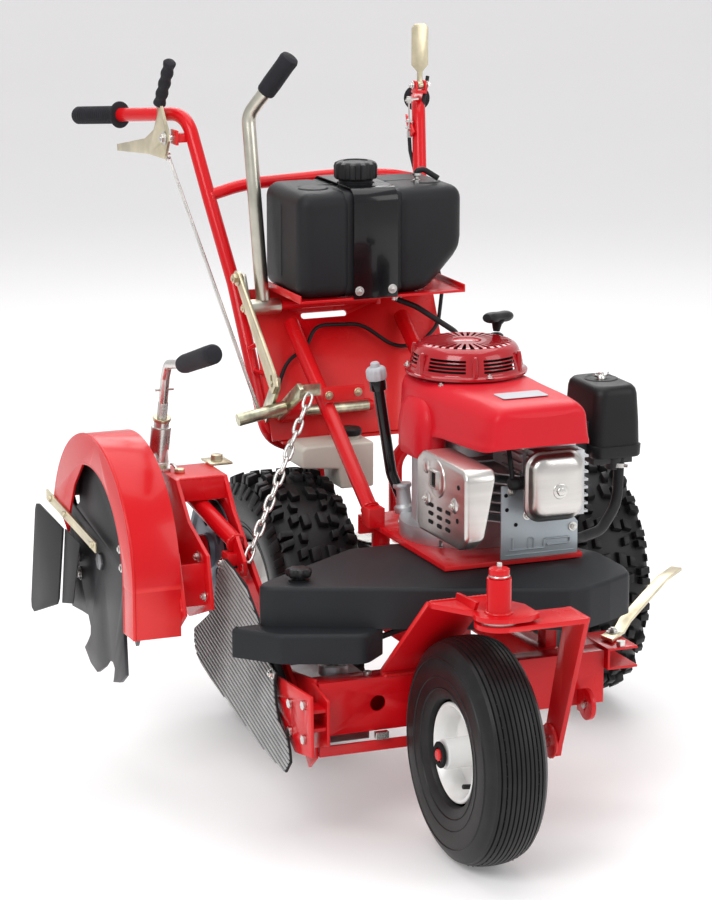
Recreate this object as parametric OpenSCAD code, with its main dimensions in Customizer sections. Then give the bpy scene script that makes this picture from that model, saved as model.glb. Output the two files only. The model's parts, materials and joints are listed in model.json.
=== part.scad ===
// Walk-behind power bed and lawn edger, built from separate moving pieces.
// Millimetres. +X is the operator's left, -Y is the front, +Z is up, the ground is Z = 0.

/* [Wheels] */
// Rear tyre outer diameter
rear_tire_od = 457; // [430:1:480]
// Rear tyre width
rear_tire_w = 165; // [140:1:176]
// Rear rim bead diameter
rear_rim_d = 203; // [180:1:230]
// Right rear wheel centre, across the machine
rear_right_x = -173; // [-180:1:-170]
// Left rear wheel centre, across the machine
rear_left_x = 363; // [330:1:380]
// Front tyre outer diameter
front_tire_od = 362; // [330:1:364]
// Front tyre width
front_tire_w = 108; // [90:1:112]
// Front rim flange diameter
front_rim_d = 178; // [150:1:190]
// Rear axle shaft diameter
axle_d = 25; // [20:0.5:26]

/* [Caster] */
// Kingpin position across the machine
caster_x = -154; // [-158:1:-150]
// Kingpin position along the machine
caster_y = -856; // [-860:1:-852]
// Trail from the kingpin to the front axle
caster_trail = 82; // [70:1:84]
// Kingpin diameter
kingpin_d = 25; // [20:0.5:26]

/* [Edging head] */
// Arm pivot, along the machine
pivot_y = -490; // [-492:1:-488]
// Arm pivot height
pivot_z = 186; // [184:1:188]
// Blade hub, along the machine
hub_y = -152; // [-156:1:-148]
// Blade hub height with the head raised
hub_z = 372; // [368:1:376]
// Blade radius to the tooth tips
blade_r = 206; // [180:1:206]
// Number of blade teeth
blade_teeth = 8; // [6:1:12]
// Guard band outer radius
guard_r = 215; // [212:1:225]
// Guard ring face inner radius
guard_face_r = 163; // [140:1:180]
// start angle of the guard at its rear end, degrees
guard_a = 18; // [15:1:30]
// Blade shaft diameter
blade_shaft_d = 25; // [20:0.5:26]

/* [Handlebar] */
// Handlebar tube diameter
bar_d = 25; // [22:0.5:26]
// Rubber grip diameter
grip_d = 33; // [30:0.5:36]
// Rubber grip length
grip_len = 118; // [90:1:130]

/* [Body] */
// Fuel tank width
tank_w = 308; // [280:1:312]
// Fuel tank depth
tank_d = 184; // [150:1:190]
// Fuel tank height
tank_h = 186; // [150:1:190]
// Recoil cover flange diameter
recoil_d = 203; // [180:1:210]
// Sheet thickness of the belt cover
cover_t = 3; // [2:0.5:4]
// Chain links between lever and arm
chain_links = 13; // [9:1:15]

/* [Hidden] */
bolt_angles = [157, 171, 337, 351];
bolt_circle = 126;
blade_phase = 9;
$fn = 48;
fit = 0.05;
rear_r = rear_tire_od / 2;
front_r = front_tire_od / 2;
axle_r = axle_d / 2;
pin_r = kingpin_d / 2;
shaft_r = blade_shaft_d / 2;
bar_r = bar_d / 2;
front_axle_y = caster_y + caster_trail;
crank_x = 15;
crank_y = -349;
input_x = -285;
input_y = -505;
lever_y = 135;
lever_z = 723;
bell_y = 50;
bell_z = 550;
deck_z = 405;
rake = atan(0.49);
jack_x = -440;
jack_lean = -15.3;
belt_in = 77.5;
belt_out = 85;
belt_small = 41;

// ---- helpers ----

module plate_yz(x0, x1, pts) {
  translate([x0, 0, 0]) rotate([90, 0, 90]) linear_extrude(x1 - x0) polygon(pts);
}

module plate_xz(y0, y1, pts) {
  translate([0, y1, 0]) rotate([90, 0, 0]) linear_extrude(y1 - y0) polygon(pts);
}

module plate_xy(z0, z1, pts) {
  translate([0, 0, z0]) linear_extrude(z1 - z0) polygon(pts);
}

module box(a, b) {
  translate(a) cube(b - a);
}

module rod(p, q, r) {
  v = q - p;
  len = norm(v);
  translate(p) rotate([0, acos(v[2] / len), atan2(v[1], v[0])]) cylinder(r = r, h = len);
}

module path(pts, r) {
  for (i = [0 : len(pts) - 2]) rod(pts[i], pts[i + 1], r, $fn = 24);
  for (i = [1 : 1 : len(pts) - 2]) translate(pts[i]) sphere(r = r + 0.4, $fn = 24);
}

module disc_x(x0, x1, y, z, r) {
  translate([x0, y, z]) rotate([90, 0, 90]) cylinder(r = r, h = x1 - x0);
}

module disc_z(z0, z1, x, y, r) {
  translate([x, y, z0]) cylinder(r = r, h = z1 - z0);
}

module hex_x(x0, x1, y, z, af) {
  translate([x0, y, z]) rotate([90, 0, 90]) cylinder(r = af / sqrt(3), h = x1 - x0, $fn = 6);
}

module hex_z(z0, z1, x, y, af) {
  translate([x, y, z0]) cylinder(r = af / sqrt(3), h = z1 - z0, $fn = 6);
}

// ---- frame ----

module main_frame_base() {
  color("firebrick") difference() {
    union() {
      box([-80, -545, 218], [-42, 115, 256]);
      box([60, -545, 218], [98, 115, 256]);
      box([-42, -230, 222], [60, -195, 250]);
      box([-105, -540, deck_z], [140, -170, deck_z + 8]);
      box([-78, -195, 256], [-56, -165, deck_z]);
      box([78, -195, 256], [98, -165, deck_z]);
      box([-78, -535, 256], [-56, -505, deck_z]);
      box([78, -535, 256], [98, -505, deck_z]);
      box([-105, -178, 380], [140, -170, deck_z]);
    }
    disc_x(-90, 110, 0, rear_r, axle_r + fit);
    disc_z(deck_z - 5, deck_z + 20, crank_x, crank_y, 30);
    for (x = [-60, 90], y = [-424, -274]) disc_z(deck_z - 5, deck_z + 20, x, y, 5);
  }
}

module front_beam() {
  color("firebrick") {
    difference() {
      box([-341, -585, 168], [160, -545, 256]);
      box([-342, -581, 172], [161, -549, 252]);
      translate([-240, -550, 213]) rotate([90, 0, 0]) cylinder(r = 13, h = 60);
    }
    difference() {
      plate_yz(-346, -341, [[-577, 262], [-423, 240], [-430, 150], [-520, 140], [-551, 108], [-581, 132]]);
      disc_x(-360, -330, pivot_y, pivot_z, 30 + fit);
    }
    box([-341, -588, 135], [-60, -583, 152]);
    box([-341, -588, 135], [-60, -548, 139]);
    for (x = [-330, -80]) box([x, -585, 152], [x + 8, -560, 168]);
    difference() {
      plate_yz(-384, -379, [[-657, 260], [-514, 254], [-478, 215], [-499, 190], [-548, 172], [-588, 150], [-661, 162]]);
      for (p = [[-632, 240], [-632, 184], [-572, 226], [-572, 180]]) disc_x(-390, -370, p[0], p[1], 4.2);
      disc_x(-390, -370, pivot_y, pivot_z, 14);
    }
    box([-379, -640, 196], [-346, -600, 202]);
    box([-379, -640, 226], [-346, -600, 232]);
    plate_yz(-351, -346, [[-645, 245], [-578, 258], [-578, 150], [-645, 172]]);
    difference() {
      box([160, -600, 226], [214, -500, 262]);
      box([164, -601, 230], [215, -499, 258]);
    }
    difference() {
      union() {
        disc_x(112, 120, -615, 178, 26);
        box([112, -615, 160], [120, -585, 196]);
      }
      disc_x(110, 122, -615, 178, 7);
    }
  }
}

module beam_bolts() {
  color("gainsboro") {
    for (p = [[-632, 240], [-632, 184], [-572, 226], [-572, 180]]) {
      hex_x(-389, -384, p[0], p[1], 14);
      disc_x(-384, -379, p[0], p[1], 4.1);
    }
    hex_z(256, 262, -250, -565, 13);
    box([-248, -598, 156], [-226, -588, 168]);
    disc_x(108, 128, -615, 178, 6.8);
    hex_z(262, 270, 188, -590, 14);
    for (x = [-60, 90], y = [-424, -274]) {
      disc_z(deck_z - 8, deck_z + 8, x, y, 4.9);
      hex_z(deck_z - 14, deck_z - 8, x, y, 14);
    }
  }
}

module frame_struts() {
  color("firebrick") for (x = [-110, 100]) {
    rod([x, -240, 437], [x, 128, 691], 13.5);
    box([x - 14, -268, 413], [x + 14, -232, 446]);
  }
}

module rear_panel_base() {
  color("firebrick") {
    translate([0, 52.5, 499]) rotate([-rake, 0, 0]) difference() {
      translate([-176, -4, 0]) cube([351, 4, 276]);
      translate([-79, -10, 215]) cube([76, 20, 11]);
      translate([-79, -1, 220.5]) rotate([90, 0, 0]) cylinder(r = 5.5, h = 20, center = true);
      translate([-3, -1, 220.5]) rotate([90, 0, 0]) cylinder(r = 5.5, h = 20, center = true);
    }
    difference() {
      box([-160, 40, 495], [160, 56, 499]);
      box([-40, 43, 490], [-5, 50, 505]);
    }
    translate([0, 52.5, 499]) rotate([-rake, 0, 0]) translate([170, 0, 0]) cube([5, 6, 276]);
  }
}

module panel_loop() {
  color("firebrick")
    path([[-174, 118, 662], [-196, 112, 655], [-190, 103, 618], [-174, 95, 612]], 4);
}

module handlebar_base() {
  color("firebrick") {
    path([[-62, 102, 256], [-62, 102, 440], [-122, 88, 478], [-178, 69.5, 505], [-192, 196, 755],
          [-216, 250.5, 898], [-236, 314.5, 1045], [-352, 582, 1015]], bar_r);
    path([[79, 102, 256], [79, 102, 440], [122, 88, 478], [158, 69.5, 505], [168, 196, 755],
          [191, 256.5, 910], [212, 314.5, 1050], [322, 582, 1015]], bar_r);
    path([[-217, 254, 906], [-150, 257, 922], [19, 257, 929], [130, 257, 924], [191, 256.5, 910]], 11);
  }
}

module grip(a, b) {
  v = (b - a) / norm(b - a);
  color("dimgray") difference() {
    union() {
      rod(b - v * grip_len, b + v * 4, grip_d / 2);
      rod(b - v * grip_len, b - v * (grip_len - 5), grip_d / 2 + 8);
    }
    rod(b - v * (grip_len + 4), b + v * 0.05, bar_r + fit);
  }
}

module grip_right() {
  grip([-236, 314.5, 1045], [-352, 582, 1015]);
}

module grip_left() {
  grip([212, 314.5, 1050], [322, 582, 1015]);
}

// ---- fuel system ----

module tank_tray() {
  color("firebrick") {
    difference() {
      box([-140, 8, 748], [172, 180, 752]);
      disc_z(740, 760, 60, 60, 12);
    }
    box([-140, 8, 752], [-137, 180, 762]);
    box([169, 8, 752], [172, 180, 762]);
  }
}

module fuel_tank() {
  w = tank_w / 2;
  color("dimgray") difference() {
    union() {
      translate([16, 10 + tank_d, 752]) rotate([90, 0, 0]) linear_extrude(tank_d)
        polygon([[-w + 8, 0], [w - 70, 0], [w - 8, 66], [w, 84], [w, tank_h - 16], [w - 16, tank_h],
                 [-w + 14, tank_h], [-w, tank_h - 14], [-w, 10]]);
      disc_z(752 + tank_h, 752 + tank_h + 26, -8, 78, 29);
    }
    box([-110, 5, 775], [-60, 14, 905]);
    disc_z(752 + tank_h - 20, 752 + tank_h + 30, -8, 78, 22);
  }
}

module tank_strap() {
  top = 752 + tank_h;
  color("black") difference() {
    union() {
      box([-40, 7, 752], [42, 10, top + 3]);
      box([-40, 10, top], [42, 10 + tank_d, top + 3]);
      box([-40, 10 + tank_d, 760], [42, 13 + tank_d, top + 3]);
    }
    disc_z(top - 5, top + 8, -8, 78, 30);
  }
}

module fuel_cap() {
  top = 752 + tank_h;
  color("black") difference() {
    union() {
      disc_z(top + 12, top + 44, -8, 78, 35);
      for (i = [0 : 11]) translate([-8, 78, top + 12]) rotate([0, 0, i * 30]) translate([34, 0, 0])
        cylinder(r = 4, h = 30);
    }
    disc_z(top + 11, top + 26.1, -8, 78, 29 + fit);
  }
}

module fuel_hose() {
  color("black") {
    path([[60, 60, 751], [60, 60, 735], [92, 40, 722], [130, -40, 690], [146, -180, 620], [140, -280, 560],
          [124, -366, 532]], 5);
    disc_z(736, 744, 60, 60, 8);
    disc_z(752 + tank_h, 752 + tank_h + 14, 100, 60, 8);
    path([[100, 60, 752 + tank_h + 12], [100, 60, 752 + tank_h + 20], [128, 52, 752 + tank_h + 22]], 5);
  }
}

// ---- engine ----

module engine_block_base() {
  color("silver") difference() {
    union() {
      disc_z(413, 440, crank_x, crank_y, 110);
      disc_z(440, 556, crank_x, crank_y, 88);
      box([-40, -470, 432], [96, -400, 553]);
      box([28, -547, 486], [122, -430, 598]);
      disc_z(550, 601, crank_x, crank_y, 60);
      for (z = [500 : 14 : 590]) box([22, -545, z], [128, -475, z + 4]);
    }
    disc_z(400, 470, crank_x, crank_y, 12.7 + fit);
    for (x = [-60, 90], y = [-424, -274]) disc_z(400, 425, x, y, 5);
  }
}

module cylinder_head() {
  color("silver") {
    box([34, -592, 492], [116, -553, 598]);
    for (z = [494 : 13 : 596]) box([29, -590, z], [124, -556, z + 4]);
  }
}

module head_cover_base() {
  color("silver") {
    plate_xz(-612, -592, [[17, 487], [104, 487], [112, 495], [112, 595], [104, 603], [17, 603], [9, 595], [9, 495]]);
    plate_xz(-618, -612, [[27, 497], [94, 497], [101, 504], [101, 586], [94, 593], [27, 593], [20, 586], [20, 504]]);
    translate([66, -618, 540]) rotate([90, 0, 0]) cylinder(r = 8, h = 5, $fn = 6);
  }
}

module front_plate() {
  color("slategray") difference() {
    plate_xz(-552, -548.5, [[-12, 417], [125, 417], [125, 500], [112, 540], [-12, 540]]);
    for (x = [0, 110]) translate([x, -540, 432]) rotate([90, 0, 0]) cylinder(r = 5, h = 20);
  }
}

module plug_lead() {
  color("black") {
    disc_x(-8, 29, -572, 548, 11);
    path([[-2, -572, 555], [-6, -572, 585], [-4, -560, 602]], 4);
  }
}

module engine_shroud() {
  color("red") difference() {
    union() {
      disc_z(560, 690, crank_x, crank_y, 103);
      plate_xy(607, 684, [[-82, -400], [-68, -600], [-50, -625], [100, -625], [117, -600], [113, -400]]);
      box([-86, -349, 560], [-40, -262, 640]);
    }
    disc_z(559, 686, crank_x, crank_y, 99);
    plate_xy(606, 680, [[-78, -400], [-64, -598], [-48, -621], [98, -621], [113, -598], [109, -400]]);
    disc_z(680, 700, crank_x, crank_y, 80);
    disc_z(550, 603, crank_x, -440, 95);
  }
}

module recoil_cover() {
  r = recoil_d / 2;
  color("maroon") difference() {
    translate([crank_x, crank_y, 690]) rotate_extrude()
      polygon([[0, 0], [r, 0], [r, 6], [r - 5, 9], [r - 9, 36], [r - 16, 47], [r - 26, 51], [18, 51], [14, 47], [0, 47]]);
    translate([crank_x, crank_y, 689]) cylinder(r = r - 14, h = 40);
    for (i = [0 : 11]) translate([crank_x, crank_y, 725]) rotate([0, 0, i * 30 + 8]) translate([30, -3, 0])
      cube([34, 6, 30]);
    disc_z(700, 760, 88, -308, 3);
  }
}

module starter_handle() {
  color("black") {
    rod([74, -318, 758], [106, -296, 758], 8);
    rod([90, -307, 758], [88, -308, 742], 6);
  }
}

module muffler() {
  color("silver") difference() {
    plate_xz(-676, -478, [[-126, 463], [-106, 463], [-98, 470], [-76, 590], [-82, 600], [-126, 600], [-130, 596],
      [-130, 467]]);
    box([-131, -578, 552], [-126, -546, 584]);
    for (z = [485 : 18 : 580]) box([-122, -677, z], [-104, -670, z + 7]);
  }
}

module air_cleaner_base() {
  color("black") difference() {
    union() {
      plate_xy(541, 645, [[212, -452], [286, -452], [294, -444], [294, -322], [286, -314], [212, -314], [204, -322],
        [204, -444]]);
      plate_xy(645, 662, [[216, -448], [282, -448], [290, -440], [290, -326], [282, -318], [216, -318], [208, -326],
        [208, -440]]);
      box([138, -420, 543], [210, -360, 600]);
    }
    disc_z(655, 670, 250, -376, 28);
  }
}

module air_cleaner_nut() {
  color("gainsboro") {
    disc_z(652, 668, 250, -376, 6);
    box([234, -379, 660], [266, -373, 667]);
  }
}

module carburettor() {
  color("silver") {
    disc_x(103.5, 140, -400, 548, 6);
    box([106, -425, 502], [139, -375, 556]);
    disc_z(480, 502, 122, -400, 22);
    box([112, -375, 520], [132, -366, 545]);
  }
}

module breather_hose() {
  color("black") path([[262, -425, 540], [252, -440, 462], [205, -475, 428], [155, -500, 426], [126, -520, 430]], 9);
}

module oil_filler() {
  color("black") path([[-105, -250, 676], [-77, -250, 500], [-58, -276, 441]], 9.5);
}

module dipstick_cap() {
  v = [-28, 0, 176] / norm([28, 0, 176]);
  p = [-105, -250, 676];
  color("gainsboro") difference() {
    union() {
      rod(p - v * 12, p + v * 10, 15);
      rod(p + v * 10, p + v * 18, 8);
    }
    rod(p - v * 13, p + v * 0.1, 9.5 + fit);
  }
}

// ---- drive ----

module crank_pulley() {
  color("silver") {
    disc_z(286, 440, crank_x, crank_y, 12.7);
    translate([crank_x, crank_y, 292]) rotate_extrude()
      polygon([[12, 0], [36, 0], [36, 3], [28, 4], [28, 15], [36, 16], [36, 20], [31, 21], [31, 34], [40, 35], [40, 38], [12, 38]]);
  }
}

module loop_2d(x0, y0, r0, x1, y1, r1) {
  hull() {
    translate([x0, y0]) circle(r = r0, $fn = 64);
    translate([x1, y1]) circle(r = r1, $fn = 64);
  }
}

module edger_belt() {
  color("black") translate([0, 0, 297]) linear_extrude(9) difference() {
    loop_2d(crank_x, crank_y, 35, input_x, input_y, 54);
    loop_2d(crank_x, crank_y, 28.8, input_x, input_y, 47.8);
  }
}

module traction_belt() {
  color("black") translate([0, 0, 314]) linear_extrude(11) difference() {
    loop_2d(crank_x, crank_y, 38, crank_x, -20, 59);
    loop_2d(crank_x, crank_y, 31.8, crank_x, -20, 52.8);
  }
}

module gearbox() {
  color("silver") difference() {
    union() {
      box([-338, -545, 142], [-238, -438, 246]);
      disc_z(246, 262, input_x, input_y, 24);
      disc_x(-355, -338, pivot_y, pivot_z, 30);
      disc_x(-238, -228, pivot_y, pivot_z, 28);
    }
    disc_z(210, 263, input_x, input_y, 9 + fit);
    disc_x(-356, -300, pivot_y, pivot_z, 12 + fit);
  }
}

module input_pulley() {
  color("silver") {
    disc_z(212, 328, input_x, input_y, 9);
    translate([input_x, input_y, 293]) rotate_extrude()
      polygon([[8, 0], [55, 0], [55, 3], [47, 4], [47, 13], [55, 14], [55, 17], [8, 17]]);
  }
}

module output_pulley() {
  color("slategray") {
    disc_x(-378, -302, pivot_y, pivot_z, 12);
    translate([-372, pivot_y, pivot_z]) rotate([90, 0, 90]) rotate_extrude()
      polygon([[11, 0], [44, 0], [43, 1], [33, 1.2], [33, 14.8], [43, 15], [44, 16], [11, 16]]);
  }
}

module transaxle() {
  color("dimgray") difference() {
    union() {
      disc_x(-38, 56, 0, rear_r, 46);
      box([-30, -78, 190], [48, 45, 262]);
      disc_z(262, 296, crank_x, -20, 26);
      disc_z(296, 304, crank_x, -20, 14);
    }
    disc_x(-50, 70, 0, rear_r, axle_r + fit);
    disc_z(270, 310, crank_x, -20, 9 + fit);
  }
}

module transaxle_pulley() {
  color("silver") {
    disc_z(272, 334, crank_x, -20, 9);
    translate([crank_x, -20, 310]) rotate_extrude()
      polygon([[8, 0], [61, 0], [61, 2], [52, 3], [52, 16], [61, 17], [61, 19], [8, 19]]);
  }
}

module reservoir_base() {
  color("white") {
    box([-156, -42, 464], [-22, 36, 506]);
    box([-84, -42, 424], [-22, 36, 464]);
    disc_z(506, 514, -52, -2, 17);
  }
}

module reservoir_cap() {
  color("black") disc_z(514, 524, -52, -2, 21);
}

module belt_cover() {
  t = cover_t;
  color("black") {
    difference() {
      plate_xy(335, 403, [[-431, -502], [40, -704], [70, -706], [120, -682], [176, -650], [185, -610],
                          [185, -510], [100, -330], [-191, -338]]);
      plate_xy(334, 403 - t, [[-424, -501], [41, -700], [69, -702], [118, -679], [172, -648], [182 - 1, -610],
                              [182 - 1, -511], [98, -333], [-189, -341]]);
      box([-108, -545, 390], [142, -300, 410]);
      box([-60, -345, 330], [90, -325, 360]);
    }
    difference() {
      plate_xy(289, 338, [[-455, -495], [-397, -563], [-271, -613], [-222, -567], [-222, -470], [-345, -470],
                          [-345, -484], [-448, -486]]);
      plate_xy(288, 335, [[-449, -495], [-395, -559], [-271, -609], [-220, -564], [-220, -465], [-342, -465],
                          [-342, -487], [-444, -489]]);
      plate_xy(330, 340, [[-420, -501], [-223, -585], [-223, -460], [-340, -460]]);
    }
    disc_z(403, 409, -339, -494, 10);
  }
}

module cover_knob() {
  color("black") {
    disc_z(409, 424, -339, -494, 15);
    for (i = [0 : 4]) translate([-339, -494, 410]) rotate([0, 0, i * 72]) translate([15, 0, 0]) cylinder(r = 6, h = 13);
  }
}

// ---- wheels ----

module tire_profile(r, w, bead, flat) {
  polygon([[bead, -w * 0.36], [bead + 14, -w * 0.44], [r * 0.78, -w / 2], [r * 0.93, -w / 2 + 3], [r, -flat],
           [r, flat], [r * 0.93, w / 2 - 3], [r * 0.78, w / 2], [bead + 14, w * 0.44], [bead, w * 0.36],
           [bead - 3, w * 0.36 - 2], [bead - 3, w * 0.36 - 9], [bead + 8, w * 0.36 - 12],
           [r - 14, w / 2 - 20], [r - 14, -w / 2 + 20], [bead + 8, -w * 0.36 + 12],
           [bead - 3, -w * 0.36 + 9], [bead - 3, -w * 0.36 + 2]]);
}

module rear_tire(x) {
  color("dimgray") translate([x, 0, rear_r]) rotate([90, 0, 90]) difference() {
    rotate_extrude() tire_profile(rear_r, rear_tire_w, rear_rim_d / 2 + 6, rear_tire_w * 0.4);
    for (i = [0 : 21], s = [-1, 1]) rotate([0, 0, (i + (s > 0 ? 0.5 : 0)) * 360 / 22])
      translate([rear_r - 7, -9, s > 0 ? 14 : -rear_tire_w / 2 - 1]) cube([12, 18, rear_tire_w / 2 - 13]);
  }
}

module rear_tire_right() {
  rear_tire(rear_right_x);
}

module rear_tire_left() {
  rear_tire(rear_left_x);
}

module rim_profile(rb, w, dish) {
  polygon([[rb + 2.8, -w * 0.36 + 2.2], [rb + 2.8, -w * 0.36 + 8.8], [rb - 6, -w * 0.2], [rb - 6, w * 0.2],
           [rb + 2.8, w * 0.36 - 8.8], [rb + 2.8, w * 0.36 - 2.2], [rb - 2, w * 0.36], [rb - 6, w * 0.36 - 6],
           [rb - 11, w * 0.2], [rb - 12, dish + 3], [40, dish + 3], [40, dish - 3], [rb - 12, dish - 3],
           [rb - 11, -w * 0.2], [rb - 6, -w * 0.36 + 6], [rb - 2, -w * 0.36]]);
}

module rear_rim(x, dish) {
  color("gainsboro") translate([x, 0, rear_r]) rotate([90, 0, 90]) difference() {
    union() {
      rotate_extrude() rim_profile(rear_rim_d / 2, rear_tire_w, dish);
      translate([0, 0, dish - 24]) cylinder(r = 42, h = 48);
    }
    translate([0, 0, -100]) cylinder(r = axle_r + fit, h = 200);
    for (i = [0 : 4]) rotate([0, 0, i * 72]) translate([66, 0, -60]) cylinder(r = 9, h = 120);
  }
}

module rear_rim_right_base() {
  rear_rim(rear_right_x, -10);
}

module rear_rim_left_base() {
  rear_rim(rear_left_x, 10);
}

module axle_right() {
  color("silver") {
    disc_x(rear_right_x - 44, -40, 0, rear_r, axle_r);
    disc_x(rear_right_x - 52, rear_right_x - 44, 0, rear_r, 17);
  }
}

module axle_left() {
  color("silver") {
    disc_x(58, rear_left_x + 44, 0, rear_r, axle_r);
    disc_x(rear_left_x + 44, rear_left_x + 52, 0, rear_r, 17);
  }
}

module front_tire() {
  color("dimgray") translate([caster_x, front_axle_y, front_r]) rotate([90, 0, 90]) difference() {
    rotate_extrude() tire_profile(front_r, front_tire_w, front_rim_d / 2 - 6, 36);
    for (x = [-24, -8, 8, 24]) translate([0, 0, x - 2]) difference() {
      cylinder(r = front_r + 2, h = 4);
      translate([0, 0, -1]) cylinder(r = front_r - 5, h = 6);
    }
  }
}

module front_rim() {
  color("white") translate([caster_x, front_axle_y, front_r]) rotate([90, 0, 90]) difference() {
    union() {
      rotate_extrude() rim_profile(front_rim_d / 2 - 12, front_tire_w, 0);
      translate([0, 0, -54]) cylinder(r = 24, h = 108);
      translate([0, 0, -3]) cylinder(r = 44, h = 6);
    }
    translate([0, 0, -100]) cylinder(r = 10 + fit, h = 200);
  }
}

// ---- caster ----

module caster_arm() {
  color("firebrick") difference() {
    union() {
      plate_xy(417, 425, [[-229, -760], [-130, -760], [-97, -826], [-97, -880], [-120, -895], [-150, -897], [-229, -772]]);
      disc_z(417, 425, caster_x, caster_y, 40);
      disc_z(425, 480, caster_x, caster_y, 19);
      plate_yz(-232, -130, [[-763, 425], [-758, 425], [-574, 265], [-574, 256], [-582, 256], [-582, 262], [-763, 419]]);
      plate_yz(-185, -179, [[-762, 425], [-830, 425], [-840, 440], [-765, 436]]);
    }
    disc_z(400, 500, caster_x, caster_y, pin_r + fit);
  }
}

module kingpin_washer() {
  color("gainsboro") difference() {
    disc_z(411, 417, caster_x, caster_y, 30);
    disc_z(400, 420, caster_x, caster_y, pin_r + fit);
  }
}

module caster_fork() {
  y = front_axle_y;
  z = front_r;
  color("firebrick") {
    disc_z(403, 410.9, caster_x, caster_y, 38);
    plate_xy(403, 410.9, [[caster_x, caster_y - 38], [-24, -892], [-16, -888], [-16, -822], [caster_x, caster_y + 38]]);
    plate_yz(-24, -16, [[-890, 411], [-820, 411], [y + 26, z], [y + 20, z - 20], [y, z - 27], [y - 20, z - 20], [y - 26, z]]);
    disc_z(480.3, 494, caster_x, caster_y, 16);
    disc_x(-30, -24, y, z, 26);
  }
}

module caster_pins() {
  y = front_axle_y;
  z = front_r;
  color("gainsboro") {
    disc_z(410.9, 480.3, caster_x, caster_y, pin_r);
    disc_x(-216, -30, y, z, 10);
    disc_x(-214, -209.5, y, z, 14);
    disc_x(-98, -90, y, z, 15);
    disc_z(494, 504, caster_x, caster_y, 4);
  }
}

// ---- edging head ----

module yz_sector(x0, x1, r0, r1, a0, a1) {
  translate([x0, hub_y, hub_z]) rotate([90, 0, 90]) rotate([0, 0, a0]) rotate_extrude(angle = a1 - a0)
    translate([r0, 0]) square([r1 - r0, x1 - x0]);
}

module edger_arm_base() {
  color("firebrick") difference() {
    union() {
      plate_yz(-354, -347, [[pivot_y - 24, pivot_z + 40], [-230, 455], [-186, 508], [-92, 508], [-104, 380],
                            [-128, 344], [-300, 244], [pivot_y + 24, pivot_z - 40]]);
      disc_x(-354, -347, pivot_y, pivot_z, 46);
      disc_x(-354, -347, hub_y, hub_z, 40);
      disc_x(-488, -378, hub_y, hub_z, 28);
      plate_yz(-494, -488, [[-380, 330], [-345, 425], [-250, 458], [-130, 452], [-96, 400], [-110, 330], [-250, 282],
                            [-330, 288]]);
      plate_yz(-440, -434, [[-360, 330], [-340, 415], [-250, 450], [-192, 508], [-92, 508], [-96, 400], [-110, 330],
                            [-250, 290]]);
      box([-488, -330, 330], [-440, -322, 400]);
      box([-434, -192, 470], [-354, -90, 508]);
      rod([-404, -101, 483], [-370, -293, 418], 14);
      plate_yz(-375, -369, [[-280, 410], [-300, 432], [-338, 398], [-338, 374], [-318, 374]]);
      box([-391, -305, 384], [-372, -276, 404]);
    }
    disc_x(-360, -340, pivot_y, pivot_z, 30 + fit);
    disc_x(-500, -340, hub_y, hub_z, shaft_r + fit);
    disc_x(-380, -365, -328, 386, 5);
  }
}

module arm_fasteners_base() {
  color("gainsboro") {
    box([-352, -118, 508], [-312, -70, 512]);
    hex_z(512, 521, -331, -91, 19);
    for (p = [[-330, 345], [-300, 405], [-215, 432], [-225, 312]]) {
      hex_x(-434, -428, p[0], p[1], 13);
    }
    hex_z(508, 515, -415, -140, 16);
  }
}

module blade_guard() {
  g = guard_r;
  f = guard_face_r;
  color("firebrick") difference() {
    union() {
      yz_sector(-576, -494, g - 5, g, guard_a, 180);
      yz_sector(-576, -572, f, g - 4, guard_a, 180);
    plate_yz(-575.9, -572.1, [[hub_y + 196, hub_z + 68], [hub_y + 128, hub_z + 22], [hub_y + 116, hub_z + 62],
      [hub_y + 88, hub_z + 112], [hub_y + 40, hub_z + 158.5], [hub_y + 118, hub_z + 152]]);
      yz_sector(-498.6, -494.4, 20, g - 4, guard_a + 0.5, 179.5);
      yz_sector(-573, -566, f + 0.5, f + 5, 60, 179);
      box([-575.6, hub_y - g + 0.4, hub_z - 79], [-494.2, hub_y - g + 5, hub_z + 12]);
      box([-575.8, hub_y - g + 1, hub_z - 78.5], [-572.3, hub_y - f - 0.5, hub_z + 6]);
      box([-498.8, hub_y - g + 1, hub_z - 78.5], [-494.6, hub_y - 150, hub_z + 8]);
      disc_x(-499, -494.2, hub_y, hub_z, 60);
    }
    disc_x(-500, -490, hub_y, hub_z, 34);
  }
}

module blade_2d() {
  n = blade_teeth;
  s = 360 / n;
  difference() {
    polygon([for (i = [0 : n - 1], k = [0 : 7])
      let (a = s * i + [0, 10, 20.5, 18, 15.5, 17.5, 25, 34][k] * s / 45,
           r = blade_r * (i % 2 == 0 ? [0.99, 1, 0.98, 0.88, 0.77, 0.70, 0.66, 0.76]
                                     : [0.99, 1, 0.98, 0.93, 0.87, 0.82, 0.80, 0.88])[k])
      [r * cos(a), r * sin(a)]]);
    circle(r = shaft_r + fit);
    for (a = bolt_angles) rotate([0, 0, a - blade_phase]) translate([bolt_circle, 0]) circle(r = 4.5);
  }
}

module blade() {
  color("dimgray") translate([-559, hub_y, hub_z]) rotate([90, 0, 90]) linear_extrude(6) rotate([0, 0, blade_phase]) blade_2d();
}

module blade_bolts() {
  color("silver") {
    for (a = bolt_angles) {
      hex_x(-564, -559, hub_y + bolt_circle * cos(a), hub_z + bolt_circle * sin(a), 14);
      disc_x(-559.5, -550, hub_y + bolt_circle * cos(a), hub_z + bolt_circle * sin(a), 4.4);
    }
    hex_x(-564, -558.5, hub_y, hub_z, 26);
  }
}

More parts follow.
